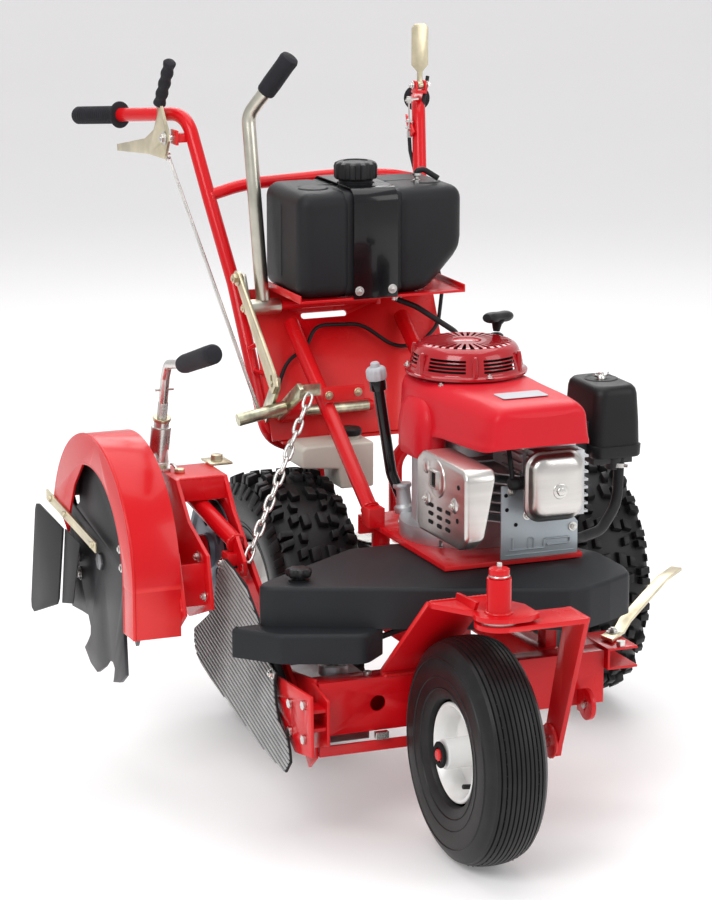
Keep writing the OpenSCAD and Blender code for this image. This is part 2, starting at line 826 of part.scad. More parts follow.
module blade_shaft_base() {
  color("silver") {
    disc_x(-559, -346, hub_y, hub_z, shaft_r);
    disc_x(-553, -548, hub_y, hub_z, bolt_circle + 7);
    disc_x(-549, -543, hub_y, hub_z, 62);
    disc_x(-543, -502, hub_y, hub_z, 24);
  }
}

module blade_pulley() {
  color("slategray") difference() {
    translate([-372, hub_y, hub_z]) rotate([90, 0, 90]) rotate_extrude()
      polygon([[shaft_r + fit, -4], [30, -4], [30, 4], [70, 4], [76, 0], [88, 0], [87, 1], [77, 1.2], [77, 14.8],
               [87, 15], [88, 16], [76, 16], [70, 12], [30, 12], [30, 16], [shaft_r + fit, 16]]);
    for (i = [0 : 4]) translate([-380, hub_y, hub_z]) rotate([90, 0, 90]) rotate([0, 0, i * 72]) translate([52, 0, 0])
      cylinder(r = 11, h = 40);
  }
}

module arm_belt() {
  color("black") translate([-370.5, 0, 0]) rotate([90, 0, 90]) linear_extrude(13) difference() {
    loop_2d(hub_y, hub_z, belt_out, pivot_y, pivot_z, belt_small);
    loop_2d(hub_y, hub_z, belt_in, pivot_y, pivot_z, belt_small - 7.5);
  }
}

module belt_guard() {
  color("black") {
    plate_yz(-377, -354, [[-300, 375], [-300, 378], [-452, 271], [-452, 268]]);
    plate_yz(-377, -374.5, [[-300, 376], [-300, 352], [-440, 254], [-452, 268]]);
  }
}

module side_flap() {
  color("dimgray") plate_yz(-395, -391, [[-275, 388], [-304, 397], [-397, 377], [-481, 315], [-481, 285], [-536, 268], [-527, 250], [-532, 218],
    [-549, 185], [-584, 172], [-593, 155], [-597, 136], [-575, 113], [-504, 119], [-408, 136], [-313, 155],
    [-217, 174], [-162, 192], [-148, 215], [-148, 238], [-239, 292]]);
}

module deflector_bracket() {
  color("goldenrod") {
    plate_yz(-580, -576, [[-186, 396], [84, 426], [84, 444], [-186, 414]]);
    for (y = [-170, -20, 60]) hex_x(-584, -580, y, 420 + (y + 51) * 0.111, 10);
  }
}

module deflector_flap() {
  color("black") {
    plate_yz(-586, -582, [[-24, 400], [112, 412], [126, 409], [133, 398], [168, 226], [166, 212], [152, 208],
    [18, 256], [8, 268]]);
    plate_yz(-582, -580.2, [[-108, 394], [-26, 400], [-1, 263], [-64, 278]]);
  }
}

module jack_axis() {
  translate([jack_x, -100, 508]) rotate([-jack_lean, 0, 0]) children();
}

module depth_jack() {
  color("silver") difference() {
    union() {
      jack_axis() {
        translate([0, 0, 8]) cylinder(r = 17, h = 74);
        translate([0, 0, 81.5]) cylinder(r = 13, h = 10.5);
      }
      plate_yz(-434, -428, [[-90, 509], [-130, 509], [-125, 545], [-95, 545]]);
      plate_yz(-458, -452, [[-92, 500], [-175, 454], [-170, 480], [-125, 540], [-95, 540]]);
      box([-458.5, -130, 508.2], [-427.5, -92, 514]);
    }
    jack_axis() translate([0, 0, 30]) cylinder(r = 8 + fit, h = 80);
  }
}

module depth_crank_base() {
  color("goldenrod") {
    jack_axis() translate([0, 0, 32]) cylinder(r = 8, h = 140);
    path([[jack_x, -145.5, 674], [jack_x, -152, 690], [jack_x, -236, 713]], 7.8);
  }
}

module crank_grip() {
  color("black") rod([jack_x, -236, 713], [jack_x, -388, 760], 16);
}

// ---- lift linkage ----

module lever_mounts() {
  color("firebrick") {
    disc_x(-192, 60, lever_y, lever_z, 8);
    plate_yz(52, 60, [[127, 748], [150, 748], [160, 728], [145, 712], [127, 714]]);
    difference() {
      disc_x(-160, -120, bell_y, bell_z, 17);
      disc_x(-165, -115, bell_y, bell_z, 10 + fit);
    }
    difference() {
      plate_yz(-146, -138, [[50, 536], [64, 536], [72, 548], [76, 566], [50, 566]]);
      disc_x(-165, -115, bell_y, bell_z, 12);
    }
    box([-122, -56, 585.5], [-46, -51, 612]);
    disc_x(4, 12, bell_y, bell_z, 9);
    box([4, 50, 541], [12, 66, 559]);
  }
}

module lift_lever_base() {
  color("goldenrod") {
    difference() {
      union() {
        disc_x(-185, -130, lever_y, lever_z, 14);
        plate_yz(-191, -185, [[122, 716], [150, 716], [172, 766], [168, 780], [154, 780], [150, 776]]);
        path([[-160, lever_y + 2, lever_z + 10], [-160, 204, 1052], [-146, 190, 1078], [-136, 178, 1096]], 12.5);
      }
      disc_x(-192, -120, lever_y, lever_z, 8 + fit);
    }
    disc_x(-202, -191, 161, 772, 5);
    hex_x(-206, -202, 161, 772, 13);
  }
}

module lift_lever_grip() {
  color("black") rod([-136, 178, 1096], [-105, 140, 1158], 17);
}

module lift_link() {
  color("goldenrod") difference() {
    union() {
      plate_yz(-199, -193, [[153, 779], [168, 765], [9, 609], [-9, 598], [-25, 614], [-13, 637]]);
      disc_x(-199, -193, 161, 772, 11);
    }
    disc_x(-205, -190, 161, 772, 5 + fit);
    plate_yz(-205, -190, [[-12.4, 610.6], [-6, 609.4], [-3.2, 612], [-0.6, 625], [-0.6, 629], [-3, 631.2], [-8.4, 630.4],
      [-10.4, 625], [-13, 617]]);
  }
}

module bellcrank_base() {
  color("goldenrod") {
    disc_x(-190, 3.9, bell_y, bell_z, 10);
    plate_yz(-192, -186, [[60, 556], [42, 536], [-16, 608], [-16, 626], [0, 630]]);
    plate_yz(-168, -161, [[60, 556], [44, 538], [-60, 598], [-62, 614], [-48, 622]]);
    box([-161, -58, 600], [-128, -52, 620]);
    path([[-259, 0, 555], [-172, 0, 571]], 11);
    rod([-186, 20, 571], [-160, 20, 571], 5);
  }
}

module link_pin() {
  color("gainsboro") disc_x(-200, -192, -8, 618, 3);
}

module lift_chain() {
  a = [-152.3, -64.8, 601.7];
  b = [-359, -314.4, 397];
  v = b - a;
  n = chain_links;
  len = norm(v);
  color("gainsboro") translate(a) rotate([0, acos(v[2] / len), atan2(v[1], v[0])]) for (i = [0 : n - 1])
    translate([0, 0, i * len / n]) rotate([0, 0, i % 2 * 90 + 40]) rotate([90, 0, 0]) translate([0, 0, -2.5])
      linear_extrude(5) difference() {
        translate([-8, -4]) square([16, len / n + 7]);
        translate([-3.6, 0.6]) square([7.2, len / n - 2.2]);
      }
}

// ---- hand controls ----

module drive_lever_base() {
  color("goldenrod") difference() {
    plate_yz(-278, -273, [[296, 1000], [300, 1018], [336, 1062], [354, 1062], [352, 1040], [372, 1012], [420, 990],
                          [582, 958], [580, 946], [400, 964], [318, 966], [306, 980]]);
    disc_x(-280, -270, 312, 1004, 5 + fit);
  }
}

module drive_lever_grip() {
  color("black") rod([-275.5, 343, 1064], [-275.5, 287, 1140], 9);
}

module drive_pivot() {
  color("gainsboro") {
    disc_x(-284, -262, 312, 1004, 5);
    disc_x(-284, -279, 312, 1004, 9);
    plate_yz(-262, -257, [[296, 992], [326, 992], [326, 1018], [296, 1018]]);
    box([-257, 296, 994], [-243, 318, 1016]);
  }
}

module control_rod() {
  color("gainsboro") {
    rod([-268, 322, 970], [-205, 42, 560], 3.5);
    disc_x(-272, -266, 322, 970, 8);
  }
}

module paddle_mount() {
  color("goldenrod") {
    for (x = [201, 219]) plate_yz(x, x + 4, [[298, 1066], [318, 1066], [314, 1084], [302, 1084]]);
    box([201, 298, 1064], [223, 324, 1066.5]);
    disc_x(198, 226, 308, 1076, 3);
  }
}

module paddle_lever() {
  color("goldenrod") difference() {
    union() {
      box([207, 306, 1078], [217, 310, 1108]);
      plate_xz(306, 310, [[207, 1100], [217, 1100], [228, 1112], [228, 1180], [222, 1187], [202, 1187], [196, 1180],
                          [196, 1112]]);
      disc_x(207, 217, 308, 1076, 6.5);
    }
    disc_x(190, 230, 308, 1076, 3 + fit);
  }
}

module clutch_cable() {
  color("black") path([[232, 318, 1090], [206, 300, 990], [193, 235, 850], [190, 150, 730], [168, 118, 670],
    [125, 100, 640], [75, 100, 640], [20, 120, 682], [-68, 120, 686], [-90, 106, 650], [-130, 98, 630],
    [-158, 80, 580]], 3.5);
}

module foot_pedal() {
  color("goldenrod") {
    difference() {
      plate_xy(264.8, 270.6, [[178, -578], [210, -548], [206, -520], [172, -548]]);
      disc_z(260, 275, 188, -590, 9);
    }
    translate([194, -548, 0]) rotate([90, 0, 39.9]) translate([0, 0, -10]) linear_extrude(20)
      polygon([[-12, 265.4], [26, 265.4], [52, 278], [205, 312], [268, 315], [268, 320.5], [204, 317.6],
               [50, 283.4], [25, 270], [-12, 270]]);
  }
}

// ---- pieces that come as one ----

module main_frame() {
  main_frame_base();
  frame_struts();
}

module frame_fasteners() {
  beam_bolts();
  kingpin_washer();
}

module rear_panel() {
  rear_panel_base();
  panel_loop();
  lever_mounts();
}

module handlebar() {
  handlebar_base();
  drive_pivot();
  paddle_mount();
}

module hand_grips() {
  grip_right();
  grip_left();
}

module hoses_and_cables() {
  fuel_hose();
  plug_lead();
  breather_hose();
  clutch_cable();
}

module engine_block() {
  engine_block_base();
  cylinder_head();
}

module head_cover() {
  head_cover_base();
  front_plate();
}

module air_cleaner() {
  air_cleaner_base();
  air_cleaner_nut();
}

module drive_belts() {
  edger_belt();
  traction_belt();
}

module reservoir() {
  reservoir_base();
  reservoir_cap();
}

module rear_rim_right() {
  rear_rim_right_base();
  axle_right();
}

module rear_rim_left() {
  rear_rim_left_base();
  axle_left();
}

module edger_arm() {
  edger_arm_base();
  belt_guard();
}

module arm_fasteners() {
  arm_fasteners_base();
  deflector_bracket();
}

module blade_shaft() {
  blade_shaft_base();
  blade_bolts();
}

module depth_crank() {
  depth_crank_base();
  crank_grip();
}

module lift_lever() {
  lift_lever_base();
  lift_lever_grip();
}

module bellcrank() {
  bellcrank_base();
  link_pin();
}

module drive_lever() {
  drive_lever_base();
  drive_lever_grip();
}

// ---- list of pieces ----

main_frame();
front_beam();
frame_fasteners();
rear_panel();
handlebar();
hand_grips();
tank_tray();
fuel_tank();
tank_strap();
fuel_cap();
hoses_and_cables();
engine_block();
head_cover();
engine_shroud();
recoil_cover();
starter_handle();
muffler();
air_cleaner();
carburettor();
oil_filler();
dipstick_cap();
crank_pulley();
drive_belts();
gearbox();
input_pulley();
output_pulley();
transaxle();
transaxle_pulley();
reservoir();
belt_cover();
cover_knob();
rear_tire_right();
rear_rim_right();
rear_tire_left();
rear_rim_left();
front_tire();
front_rim();
caster_arm();
caster_fork();
caster_pins();
edger_arm();
arm_fasteners();
blade_guard();
blade();
blade_shaft();
blade_pulley();
arm_belt();
side_flap();
deflector_flap();
depth_jack();
depth_crank();
lift_lever();
lift_link();
bellcrank();
lift_chain();
drive_lever();
control_rod();
paddle_lever();
foot_pedal();
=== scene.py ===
import bpy
import bmesh
import json
import math
import random
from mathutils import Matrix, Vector
from mathutils.bvhtree import BVHTree


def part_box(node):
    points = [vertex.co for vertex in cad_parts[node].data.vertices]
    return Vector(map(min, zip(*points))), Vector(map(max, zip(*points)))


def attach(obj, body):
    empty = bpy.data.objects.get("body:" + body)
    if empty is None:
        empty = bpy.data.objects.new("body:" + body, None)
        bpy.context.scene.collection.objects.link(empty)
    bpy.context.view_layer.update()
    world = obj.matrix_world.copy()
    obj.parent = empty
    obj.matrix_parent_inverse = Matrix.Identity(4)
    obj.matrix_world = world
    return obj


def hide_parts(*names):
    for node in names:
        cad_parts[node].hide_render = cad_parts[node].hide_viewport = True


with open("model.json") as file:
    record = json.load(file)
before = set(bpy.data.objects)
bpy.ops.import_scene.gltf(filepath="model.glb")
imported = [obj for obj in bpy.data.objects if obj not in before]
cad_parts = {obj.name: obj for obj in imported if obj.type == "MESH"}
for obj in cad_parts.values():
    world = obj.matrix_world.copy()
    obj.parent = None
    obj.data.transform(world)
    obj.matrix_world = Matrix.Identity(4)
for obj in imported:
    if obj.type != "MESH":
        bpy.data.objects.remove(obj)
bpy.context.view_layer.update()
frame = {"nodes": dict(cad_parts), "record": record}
random.seed(7)
NODES = frame["nodes"]
MM = 0.001
TAU = 2 * math.pi

# places that several pieces share, in millimetres
HEAD_Y, HEAD_Z = -152, 372
KINGPIN = (-154, -856)
JACK_FOOT = Vector((-440, -100, 508))
JACK_LEAN = math.radians(15.3)
JACK_UP = Vector((0, -math.sin(JACK_LEAN), math.cos(JACK_LEAN)))
HAND_ENDS = (((-236, 314.5, 1045), (-352, 582, 1015)), ((212, 314.5, 1050), (322, 582, 1015)))


# ---------------------------------------------------------------- materials

def material(name, base, rough=0.5, metal=0.0, tint=0.08, tint_scale=9.0, bump=0.05, bump_scale=260.0,
             coat=0.0, rough_var=0.12, wear_and_highlight=None, stretch=None, dust=None):
    """a procedural material: mottled colour, uneven roughness, fine bump, lighter edges (worn steel on the
    blade, a painted highlight on the red paint), dust near the ground
    """
    mat = bpy.data.materials.new(name)
    mat.use_nodes = True
    tree = mat.node_tree
    bsdf = tree.nodes["Principled BSDF"]

    def node(kind, **inputs):
        made = tree.nodes.new("ShaderNode" + kind)
        for key, value in inputs.items():
            made.inputs[key.replace("_", " ")].default_value = value
        return made

    def link(source, target):
        tree.links.new(source, target)

    def ramp(source, start, end):
        made = node("ValToRGB")
        for element, (position, colour) in zip(made.color_ramp.elements, (start, end)):
            element.position = position
            element.color = colour
        link(source, made.inputs["Fac"])
        return made.outputs["Color"]

    def blend(amount, below, above):
        made = node("MixRGB", Color2=list(above) + [1])
        link(amount, made.inputs["Fac"])
        link(below, made.inputs["Color1"])
        return made.outputs["Color"]

    place = node("TexCoord").outputs["Object"]
    mapping = node("Mapping")
    if stretch:
        mapping.inputs["Scale"].default_value = stretch
    link(place, mapping.inputs["Vector"])
    big = node("TexNoise", Scale=tint_scale, Detail=6)
    fine = node("TexNoise", Scale=bump_scale, Detail=4)
    for noise in (big, fine):
        link(mapping.outputs[0], noise.inputs["Vector"])
    dark = [max(0, c * (1 - tint)) for c in base] + [1]
    light = [min(1, c * (1 + tint)) for c in base] + [1]
    colour = ramp(big.outputs["Fac"], (0.3, dark), (0.7, light))
    # edges picked out by pointiness take the given colour: a painted highlight on the red paint, worn steel
    # on the blade
    if wear_and_highlight:
        edges = ramp(node("NewGeometry").outputs["Pointiness"], (0.535, (0, 0, 0, 1)), (0.60, (1, 1, 1, 1)))
        colour = blend(edges, colour, wear_and_highlight)
    if dust:
        split = node("SeparateXYZ")
        link(place, split.inputs[0])
        near_ground = node("MapRange", From_Min=0.0, From_Max=0.5, To_Min=0.35, To_Max=0.0)
        link(split.outputs["Z"], near_ground.inputs["Value"])
        patchy = node("Math")
        patchy.operation = "MULTIPLY"
        link(near_ground.outputs["Result"], patchy.inputs[0])
        link(big.outputs["Fac"], patchy.inputs[1])
        colour = blend(patchy.outputs[0], colour, dust)
    link(colour, bsdf.inputs["Base Color"])
    uneven = node("MapRange", To_Min=max(0.02, rough - rough_var / 2), To_Max=min(1.0, rough + rough_var / 2))
    link(big.outputs["Fac"], uneven.inputs["Value"])
    link(uneven.outputs["Result"], bsdf.inputs["Roughness"])
    bsdf.inputs["Metallic"].default_value = metal
    if metal < 0.3:
        bsdf.inputs["Specular IOR Level"].default_value = 0.25
    if coat:
        bsdf.inputs["Coat Weight"].default_value = coat
        bsdf.inputs["Coat Roughness"].default_value = 0.06
    if bump:
        relief = node("Bump", Strength=bump, Distance=0.002)
        link(fine.outputs["Fac"], relief.inputs["Height"])
        link(relief.outputs["Normal"], bsdf.inputs["Normal"])
    mat.diffuse_color = list(base) + [1]
    return mat


# gloss red paint; the lighter red on its edges is a painted highlight
RED = material("red_gloss_paint", (0.60, 0.004, 0.008), 0.26, 0.0, 0.05, 5, 0.03, 90, coat=0.14,
               wear_and_highlight=(0.70, 0.03, 0.03))
RED_PLASTIC = material("red_moulded_plastic", (0.58, 0.004, 0.014), 0.44, 0.0, 0.04, 6, 0.12, 900, coat=0.08)
RED_GLOSS = material("red_moulded_gloss", (0.36, 0.003, 0.008), 0.22, 0.0, 0.05, 6, 0.03, 300, coat=0.7)
BLACK_SHEET = material("black_powder_coat", (0.012, 0.0135, 0.016), 0.5, 0.0, 0.12, 8, 0.28, 1100,
                       dust=(0.05, 0.05, 0.05))
BLACK_PLASTIC = material("black_moulded_plastic", (0.009, 0.009, 0.010), 0.38, 0.0, 0.15, 12, 0.15, 1500)
TANK = material("black_tank_plastic", (0.010, 0.0105, 0.012), 0.42, 0.0, 0.15, 9, 0.3, 1300)
GLOSS_BLACK = material("black_gloss_strap", (0.004, 0.004, 0.005), 0.22, 0.0, 0.1, 7, 0.02, 300, coat=0.3)
RUBBER = material("black_hose_rubber", (0.012, 0.012, 0.013), 0.5, 0.0, 0.2, 30, 0.12, 700)
GRIP = material("foam_grip_rubber", (0.016, 0.016, 0.02), 0.72, 0.0, 0.2, 60, 0.6, 900)
TYRE = material("tyre_rubber", (0.008, 0.008, 0.0088), 0.40, 0.0, 0.25, 24, 0.12, 420,
                dust=(0.05, 0.048, 0.044))
# the rib crests of the black belting, painted light grey as a painted highlight
RIB_HIGHLIGHT = material("ribbed_belting_painted_highlight", (0.36, 0.36, 0.355), 0.55, 0.0, 0.2, 14, 0.2, 900)
LEVER = material("pale_zinc", (0.60, 0.58, 0.49), 0.30, 1.0, 0.12, 26, 0.06, 420)
FLAP = material("ribbed_belting", (0.010, 0.010, 0.010), 0.6, 0.0, 0.35, 14, 0.35, 900)
ALU = material("cast_aluminium", (0.52, 0.53, 0.54), 0.42, 0.9, 0.10, 14, 0.3, 520)
STEEL = material("pressed_bright_steel", (0.62, 0.60, 0.57), 0.30, 1.0, 0.07, 6, 0.08, 60, stretch=(1, 1, 14))
ZINC = material("bright_zinc", (0.66, 0.65, 0.62), 0.28, 1.0, 0.10, 40, 0.08, 500)
YZINC = material("yellow_zinc", (0.64, 0.57, 0.40), 0.33, 0.92, 0.22, 22, 0.06, 420)
RAINBOW = material("iridescent_zinc", (0.52, 0.51, 0.37), 0.3, 0.92, 0.45, 60, 0.06, 420)
BLADE = material("blade_steel", (0.014, 0.014, 0.016), 0.40, 0.25, 0.25, 16, 0.16, 420,
                 wear_and_highlight=(0.24, 0.24, 0.25))
SHAFT = material("turned_dark_steel", (0.22, 0.22, 0.23), 0.35, 0.95, 0.15, 30, 0.1, 700)
PULLEY = material("blue_grey_pulley", (0.16, 0.20, 0.24), 0.42, 0.6, 0.15, 16, 0.1, 500)
PLATE = material("blue_grey_plate", (0.42, 0.47, 0.50), 0.38, 0.5, 0.06, 10, 0.05, 300)
IRON = material("dark_cast_iron", (0.05, 0.05, 0.052), 0.6, 0.5, 0.2, 20, 0.5, 300)
WHITE = material("white_rim_paint", (0.78, 0.78, 0.76), 0.25, 0.0, 0.03, 12, 0.04, 120, coat=0.4)
MILK = material("milk_plastic", (0.62, 0.60, 0.52), 0.35, 0.0, 0.06, 6, 0.05, 300)
GREY = material("light_grey_plastic", (0.45, 0.46, 0.48), 0.45, 0.0, 0.05, 12, 0.1, 600)
# painted shade: a near-black standing for the shade in slots, holes, the hub recess and inside the guard and
# the starter cover
PAINTED_SHADE = material("painted_shade_inside", (0.006, 0.006, 0.006), 0.8, 0.0, 0.2, 20, 0.2, 300)
BLUE = material("blue_bowl", (0.06, 0.14, 0.45), 0.4, 0.1, 0.1, 30, 0.05, 300)


# ---------------------------------------------------------------- mesh helpers

def apply(ob):
    """put the modified mesh in place of the modifiers"""
    bpy.context.view_layer.update()
    made = bpy.data.meshes.new_from_object(ob.evaluated_get(bpy.context.evaluated_depsgraph_get()))
    old = list(ob.data.materials)
    ob.modifiers.clear()
    ob.data = made
    if not made.materials:
        for mat in old:
            made.materials.append(mat)


def modify(ob, kind, **settings):
    """add one modifier and apply it"""
    md = ob.modifiers.new(kind.lower(), kind)
    for key, value in settings.items():
        setattr(md, key, value)
    apply(ob)


def shade(ob, angle):
    """smooth shading, with edges sharper than the angle left crisp"""
    for p in ob.data.polygons:
        p.use_smooth = True
    ob.data.set_sharp_from_angle(angle=math.radians(angle))


def new_object(name, bm, mat):
    """a linked object from a bmesh, which is used up"""
    bmesh.ops.recalc_face_normals(bm, faces=bm.faces)
    me = bpy.data.meshes.new(name)
    bm.to_mesh(me)
    bm.free()
    ob = bpy.data.objects.new(name, me)
    bpy.context.scene.collection.objects.link(ob)
    me.materials.append(mat)
    return ob


def settle(ob, body, replaces=(), smooth=35):
    """shade an object, put it on its body and hide the nodes that it stands for"""
    shade(ob, smooth)
    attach(ob, body)
    if replaces:
        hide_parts(*replaces)


def finish_mesh(name, bm, mat, body, replaces=(), smooth=35, bevel=0.0, segs=2, limit=32):
    """an object from a bmesh, with its edges bevelled by so many millimetres"""
    ob = new_object(name, bm, mat)
    if bevel:
        modify(ob, "BEVEL", width=bevel * MM, segments=segs, limit_method="ANGLE",
               angle_limit=math.radians(limit))
    settle(ob, body, replaces, smooth)


def finish_sheet(name, bm, mat, body, replaces=(), smooth=35, thick=2.2, offset=-1):
    """an object from an open bmesh, thickened by so many millimetres"""
    ob = new_object(name, bm, mat)
    modify(ob, "SOLIDIFY", thickness=thick * MM, offset=offset)
    settle(ob, body, replaces, smooth)


def angles(n, phase=0.0):
    """n even steps round a circle"""
    return [TAU * k / n + phase for k in range(n)]


def arc(cx, cy, r, start, end, n):
    """points along an arc, with the angles in degrees"""
    steps = [math.radians(start + (end - start) * k / n) for k in range(n + 1)]
    return [(cx + r * math.cos(a), cy + r * math.sin(a)) for a in steps]


def skin(bm, rings, wrap=True, caps=False):
    """faces between neighbouring rings of vertices"""
    for a, b in zip(rings, rings[1:]):
        n = len(a)
        for k in range(n if wrap else n - 1):
            bm.faces.new((a[k], a[(k + 1) % n], b[(k + 1) % n], b[k]))
    if caps:
        bm.faces.new(rings[-1])
        bm.faces.new(list(reversed(rings[0])))


def box_mm(node):
    """a node's box in millimetres: x0, x1, y0, y1, z0, z1"""
    lo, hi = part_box(node)
    return [v / MM for v in (lo.x, hi.x, lo.y, hi.y, lo.z, hi.z)]


def body_of(node):
    for body, nodes in frame["record"]["behaviour"]["bodies"].items():
        if node in nodes:
            return body


def node_bm(node):
    """a node's mesh with its flat faces joined up"""
    bm = bmesh.new()
    bm.from_mesh(NODES[node].data)
    bmesh.ops.remove_doubles(bm, verts=bm.verts, dist=2e-5)
    bmesh.ops.dissolve_limit(bm, angle_limit=math.radians(0.6), verts=bm.verts, edges=bm.edges)
    return bm


def cad_copy(node, mat, bevel, segs):
    """a bevelled stand-in with the node's own shape"""
    finish_mesh(node + "_finish", node_bm(node), mat, body_of(node), (node,), 32, bevel, segs)


def fillet(pts, rad, n=7):
    """a path in metres from corners in millimetres, with the corners rounded"""
    pts = [Vector(p) * MM for p in pts]
    out = [pts[0]]
    for a, b, c in zip(pts, pts[1:], pts[2:]):
        u, v = (a - b).normalized(), (c - b).normalized()
        ang = u.angle(v)
        if ang > math.radians(176):
            out.append(b)
            continue
        d = min(rad * MM / math.tan(ang / 2), (a - b).length * 0.48, (c - b).length * 0.48)
        for k in range(n + 1):
            t = k / n
            out.append(b + u * d * (1 - t) ** 2 + v * d * t ** 2)
    out.append(pts[-1])
    return out


def sweep_bm(bm, pts, r, segs=20, flat=1.0):
    """a rod along a path in metres; r is one radius or a list, and flat squashes the section"""
    path = [Vector(pts[0])]
    for p in pts[1:]:
        if (Vector(p) - path[-1]).length > 1e-5:
            path.append(Vector(p))
    rs = r if isinstance(r, list) else [r] * len(path)
    last = len(path) - 1
    tang = [(path[min(last, i + 1)] - path[max(0, i - 1)]).normalized() for i in range(last + 1)]
    up = Vector((0, 0, 1)) if abs(tang[0].z) < 0.9 else Vector((1, 0, 0))
    nrm = tang[0].cross(up).normalized()
    rings = []
    for i, p in enumerate(path):
        if i:
            nrm = (tang[i - 1].rotation_difference(tang[i]) @ nrm).normalized()
        bn = tang[i].cross(nrm).normalized() * flat
        rings.append([bm.verts.new(p + (nrm * math.cos(a) + bn * math.sin(a)) * rs[i]) for a in angles(segs)])
    skin(bm, rings, caps=True)


def hoop_bm(bm, pts, normal, radii, segs):
    """a round rod bent into a closed loop in one plane"""
    rings = []
    for k, p in enumerate(pts):
        tangent = (pts[(k + 1) % len(pts)] - pts[k - 1]).normalized()
        out = tangent.cross(normal).normalized()
        rings.append([bm.verts.new(p + (out * math.cos(a) + normal * math.sin(a)) * radii[k])
                      for a in angles(segs)])
    skin(bm, rings + rings[:1])


def tube(name, pts, r, mat, body, rad=50, segs=20, replaces=()):
    bm = bmesh.new()
    sweep_bm(bm, fillet(pts, rad), r * MM, segs)
    finish_mesh(name, bm, mat, body, replaces, 40, 0.8, 2, 60)


def frame_axes(axis):
    """two directions square to an axis, and the axis, each of length one"""
    w = Vector(axis).normalized()
    u = w.cross(Vector((0, 0, 1)))
    if u.length < 1e-3:
        u = Vector((1, 0, 0))
    u.normalize()
    return u, w.cross(u).normalized(), w


def lathe_bm(bm, prof, origin, axis, segs=64, closed=False, phase=0.0):
    """a turned shape: prof holds radius and distance along the axis, in millimetres"""
    u, v, w = frame_axes(axis)
    o = Vector(origin)
    rings = []
    for r, z in prof:
        turn = angles(segs, phase) if r > 1e-6 else [0.0]
        rings.append([bm.verts.new((o + w * z + (u * math.cos(a) + v * math.sin(a)) * r) * MM) for a in turn])
    if closed:
        rings.append(rings[0])
    for a, b in zip(rings, rings[1:]):
        if len(a) == len(b) == segs:
            skin(bm, [a, b])
            continue
        for k in range(segs):
            k2 = (k + 1) % segs
            if len(b) > 1:
                bm.faces.new((a[0], b[k2], b[k]))
            elif len(a) > 1:
                bm.faces.new((a[k], a[k2], b[0]))


def lathe(name, prof, origin, axis, mat, body, segs=64, closed=False, bevel=0.0, replaces=()):
    bm = bmesh.new()
    lathe_bm(bm, prof, origin, axis, segs, closed)
    finish_mesh(name, bm, mat, body, replaces, 35, bevel, 2, 40)


def lobed(name, stations, centre, axis, wave, segs, mat, body, replaces, smooth=40):
    """a turned cap with a wavy rim; stations hold radius, height and share of the wave"""
    u, v, w = frame_axes(axis)
    o = Vector(centre)
    bm = bmesh.new()
    rings = []
    for r, z, share in stations:
        ring = []
        for a in angles(segs):
            reach = r + share * wave(a)
            ring.append(bm.verts.new((o + w * z + (u * math.cos(a) + v * math.sin(a)) * reach) * MM))
        rings.append(ring)
    skin(bm, rings, caps=True)
    finish_mesh(name, bm, mat, body, replaces, smooth)


def prism_bm(bm, pts, a, b, plane="xy"):
    """an outline in one plane, pushed from a to b across it, in millimetres"""
    def spot(p, h):
        if plane == "xy":
            return Vector((p[0], p[1], h)) * MM
        if plane == "xz":
            return Vector((p[0], h, p[1])) * MM
        return Vector((h, p[0], p[1])) * MM
    skin(bm, [[bm.verts.new(spot(p, h)) for p in pts] for h in (a, b)], caps=True)


def round_rect(x0, y0, x1, y1, r, n=6):
    corners = ((x1 - r, y1 - r, 0), (x0 + r, y1 - r, 90), (x0 + r, y0 + r, 180), (x1 - r, y0 + r, 270))
    return [p for cx, cy, start in corners for p in arc(cx, cy, r, start, start + 90, n)]


def stack_bm(bm, layers):
    """a closed shape through outlines at given heights; each layer holds its corners in millimetres"""
    skin(bm, [[bm.verts.new(Vector(p) * MM) for p in layer] for layer in layers], caps=True)


def box_bm(bm, lo, hi):
    prism_bm(bm, [(lo[0], lo[1]), (hi[0], lo[1]), (hi[0], hi[1]), (lo[0], hi[1])], lo[2], hi[2])


def rod_bm(bm, p, q, r, segs=16):
    sweep_bm(bm, [Vector(p) * MM, Vector(q) * MM], r * MM, segs)


def bolt_bm(bm, p, axis, r, h):
    """a hexagon head on a washer, with the stud's end above it"""
    washer = 1.2
    lathe_bm(bm, [(0, 0), (r * 1.5, 0), (r * 1.5, washer), (0, washer)], p, axis, 24)
    o = Vector(p) + Vector(axis).normalized() * washer
    lathe_bm(bm, [(0, 0), (r, 0), (r, h * 0.86), (r * 0.86, h), (0, h)], o, axis, 6, phase=0.3)
    lathe_bm(bm, [(0, h), (r * 0.5, h), (r * 0.5, h + 2.0), (0, h + 2.4)], o, axis, 12)


def bolts(name, items, mat, body, r=6.5, h=5.0):
    bm = bmesh.new()
    for p, axis in items:
        bolt_bm(bm, p, axis, r, h)
    finish_mesh(name, bm, mat, body, (), 30, 0.35, 1, 50)


def bead_bm(bm, centre, axis, r, w=2.2, segs=40):
    """a lumpy weld bead round a tube"""
    u, v, ax = frame_axes(axis)
    pts = [(Vector(centre) + (u * math.cos(a) + v * math.sin(a)) * r) * MM for a in angles(segs)]
    hoop_bm(bm, pts, ax, [(w + (0.55 if i % 2 else -0.25)) * MM for i in range(segs)], 8)


def seam_bm(bm, p, q, w=2.4):
    """a straight lumpy weld seam"""
    p, q = Vector(p) * MM, Vector(q) * MM
    n = max(3, int((q - p).length / 0.0035))
    rs = [(w + (0.5 if i % 2 else -0.3)) * MM for i in range(n + 1)]
    rs[0] = rs[-1] = w * 0.4 * MM
    sweep_bm(bm, [p.lerp(q, i / n) for i in range(n + 1)], rs, 8)


# ---------------------------------------------------------------- carried-over metal work

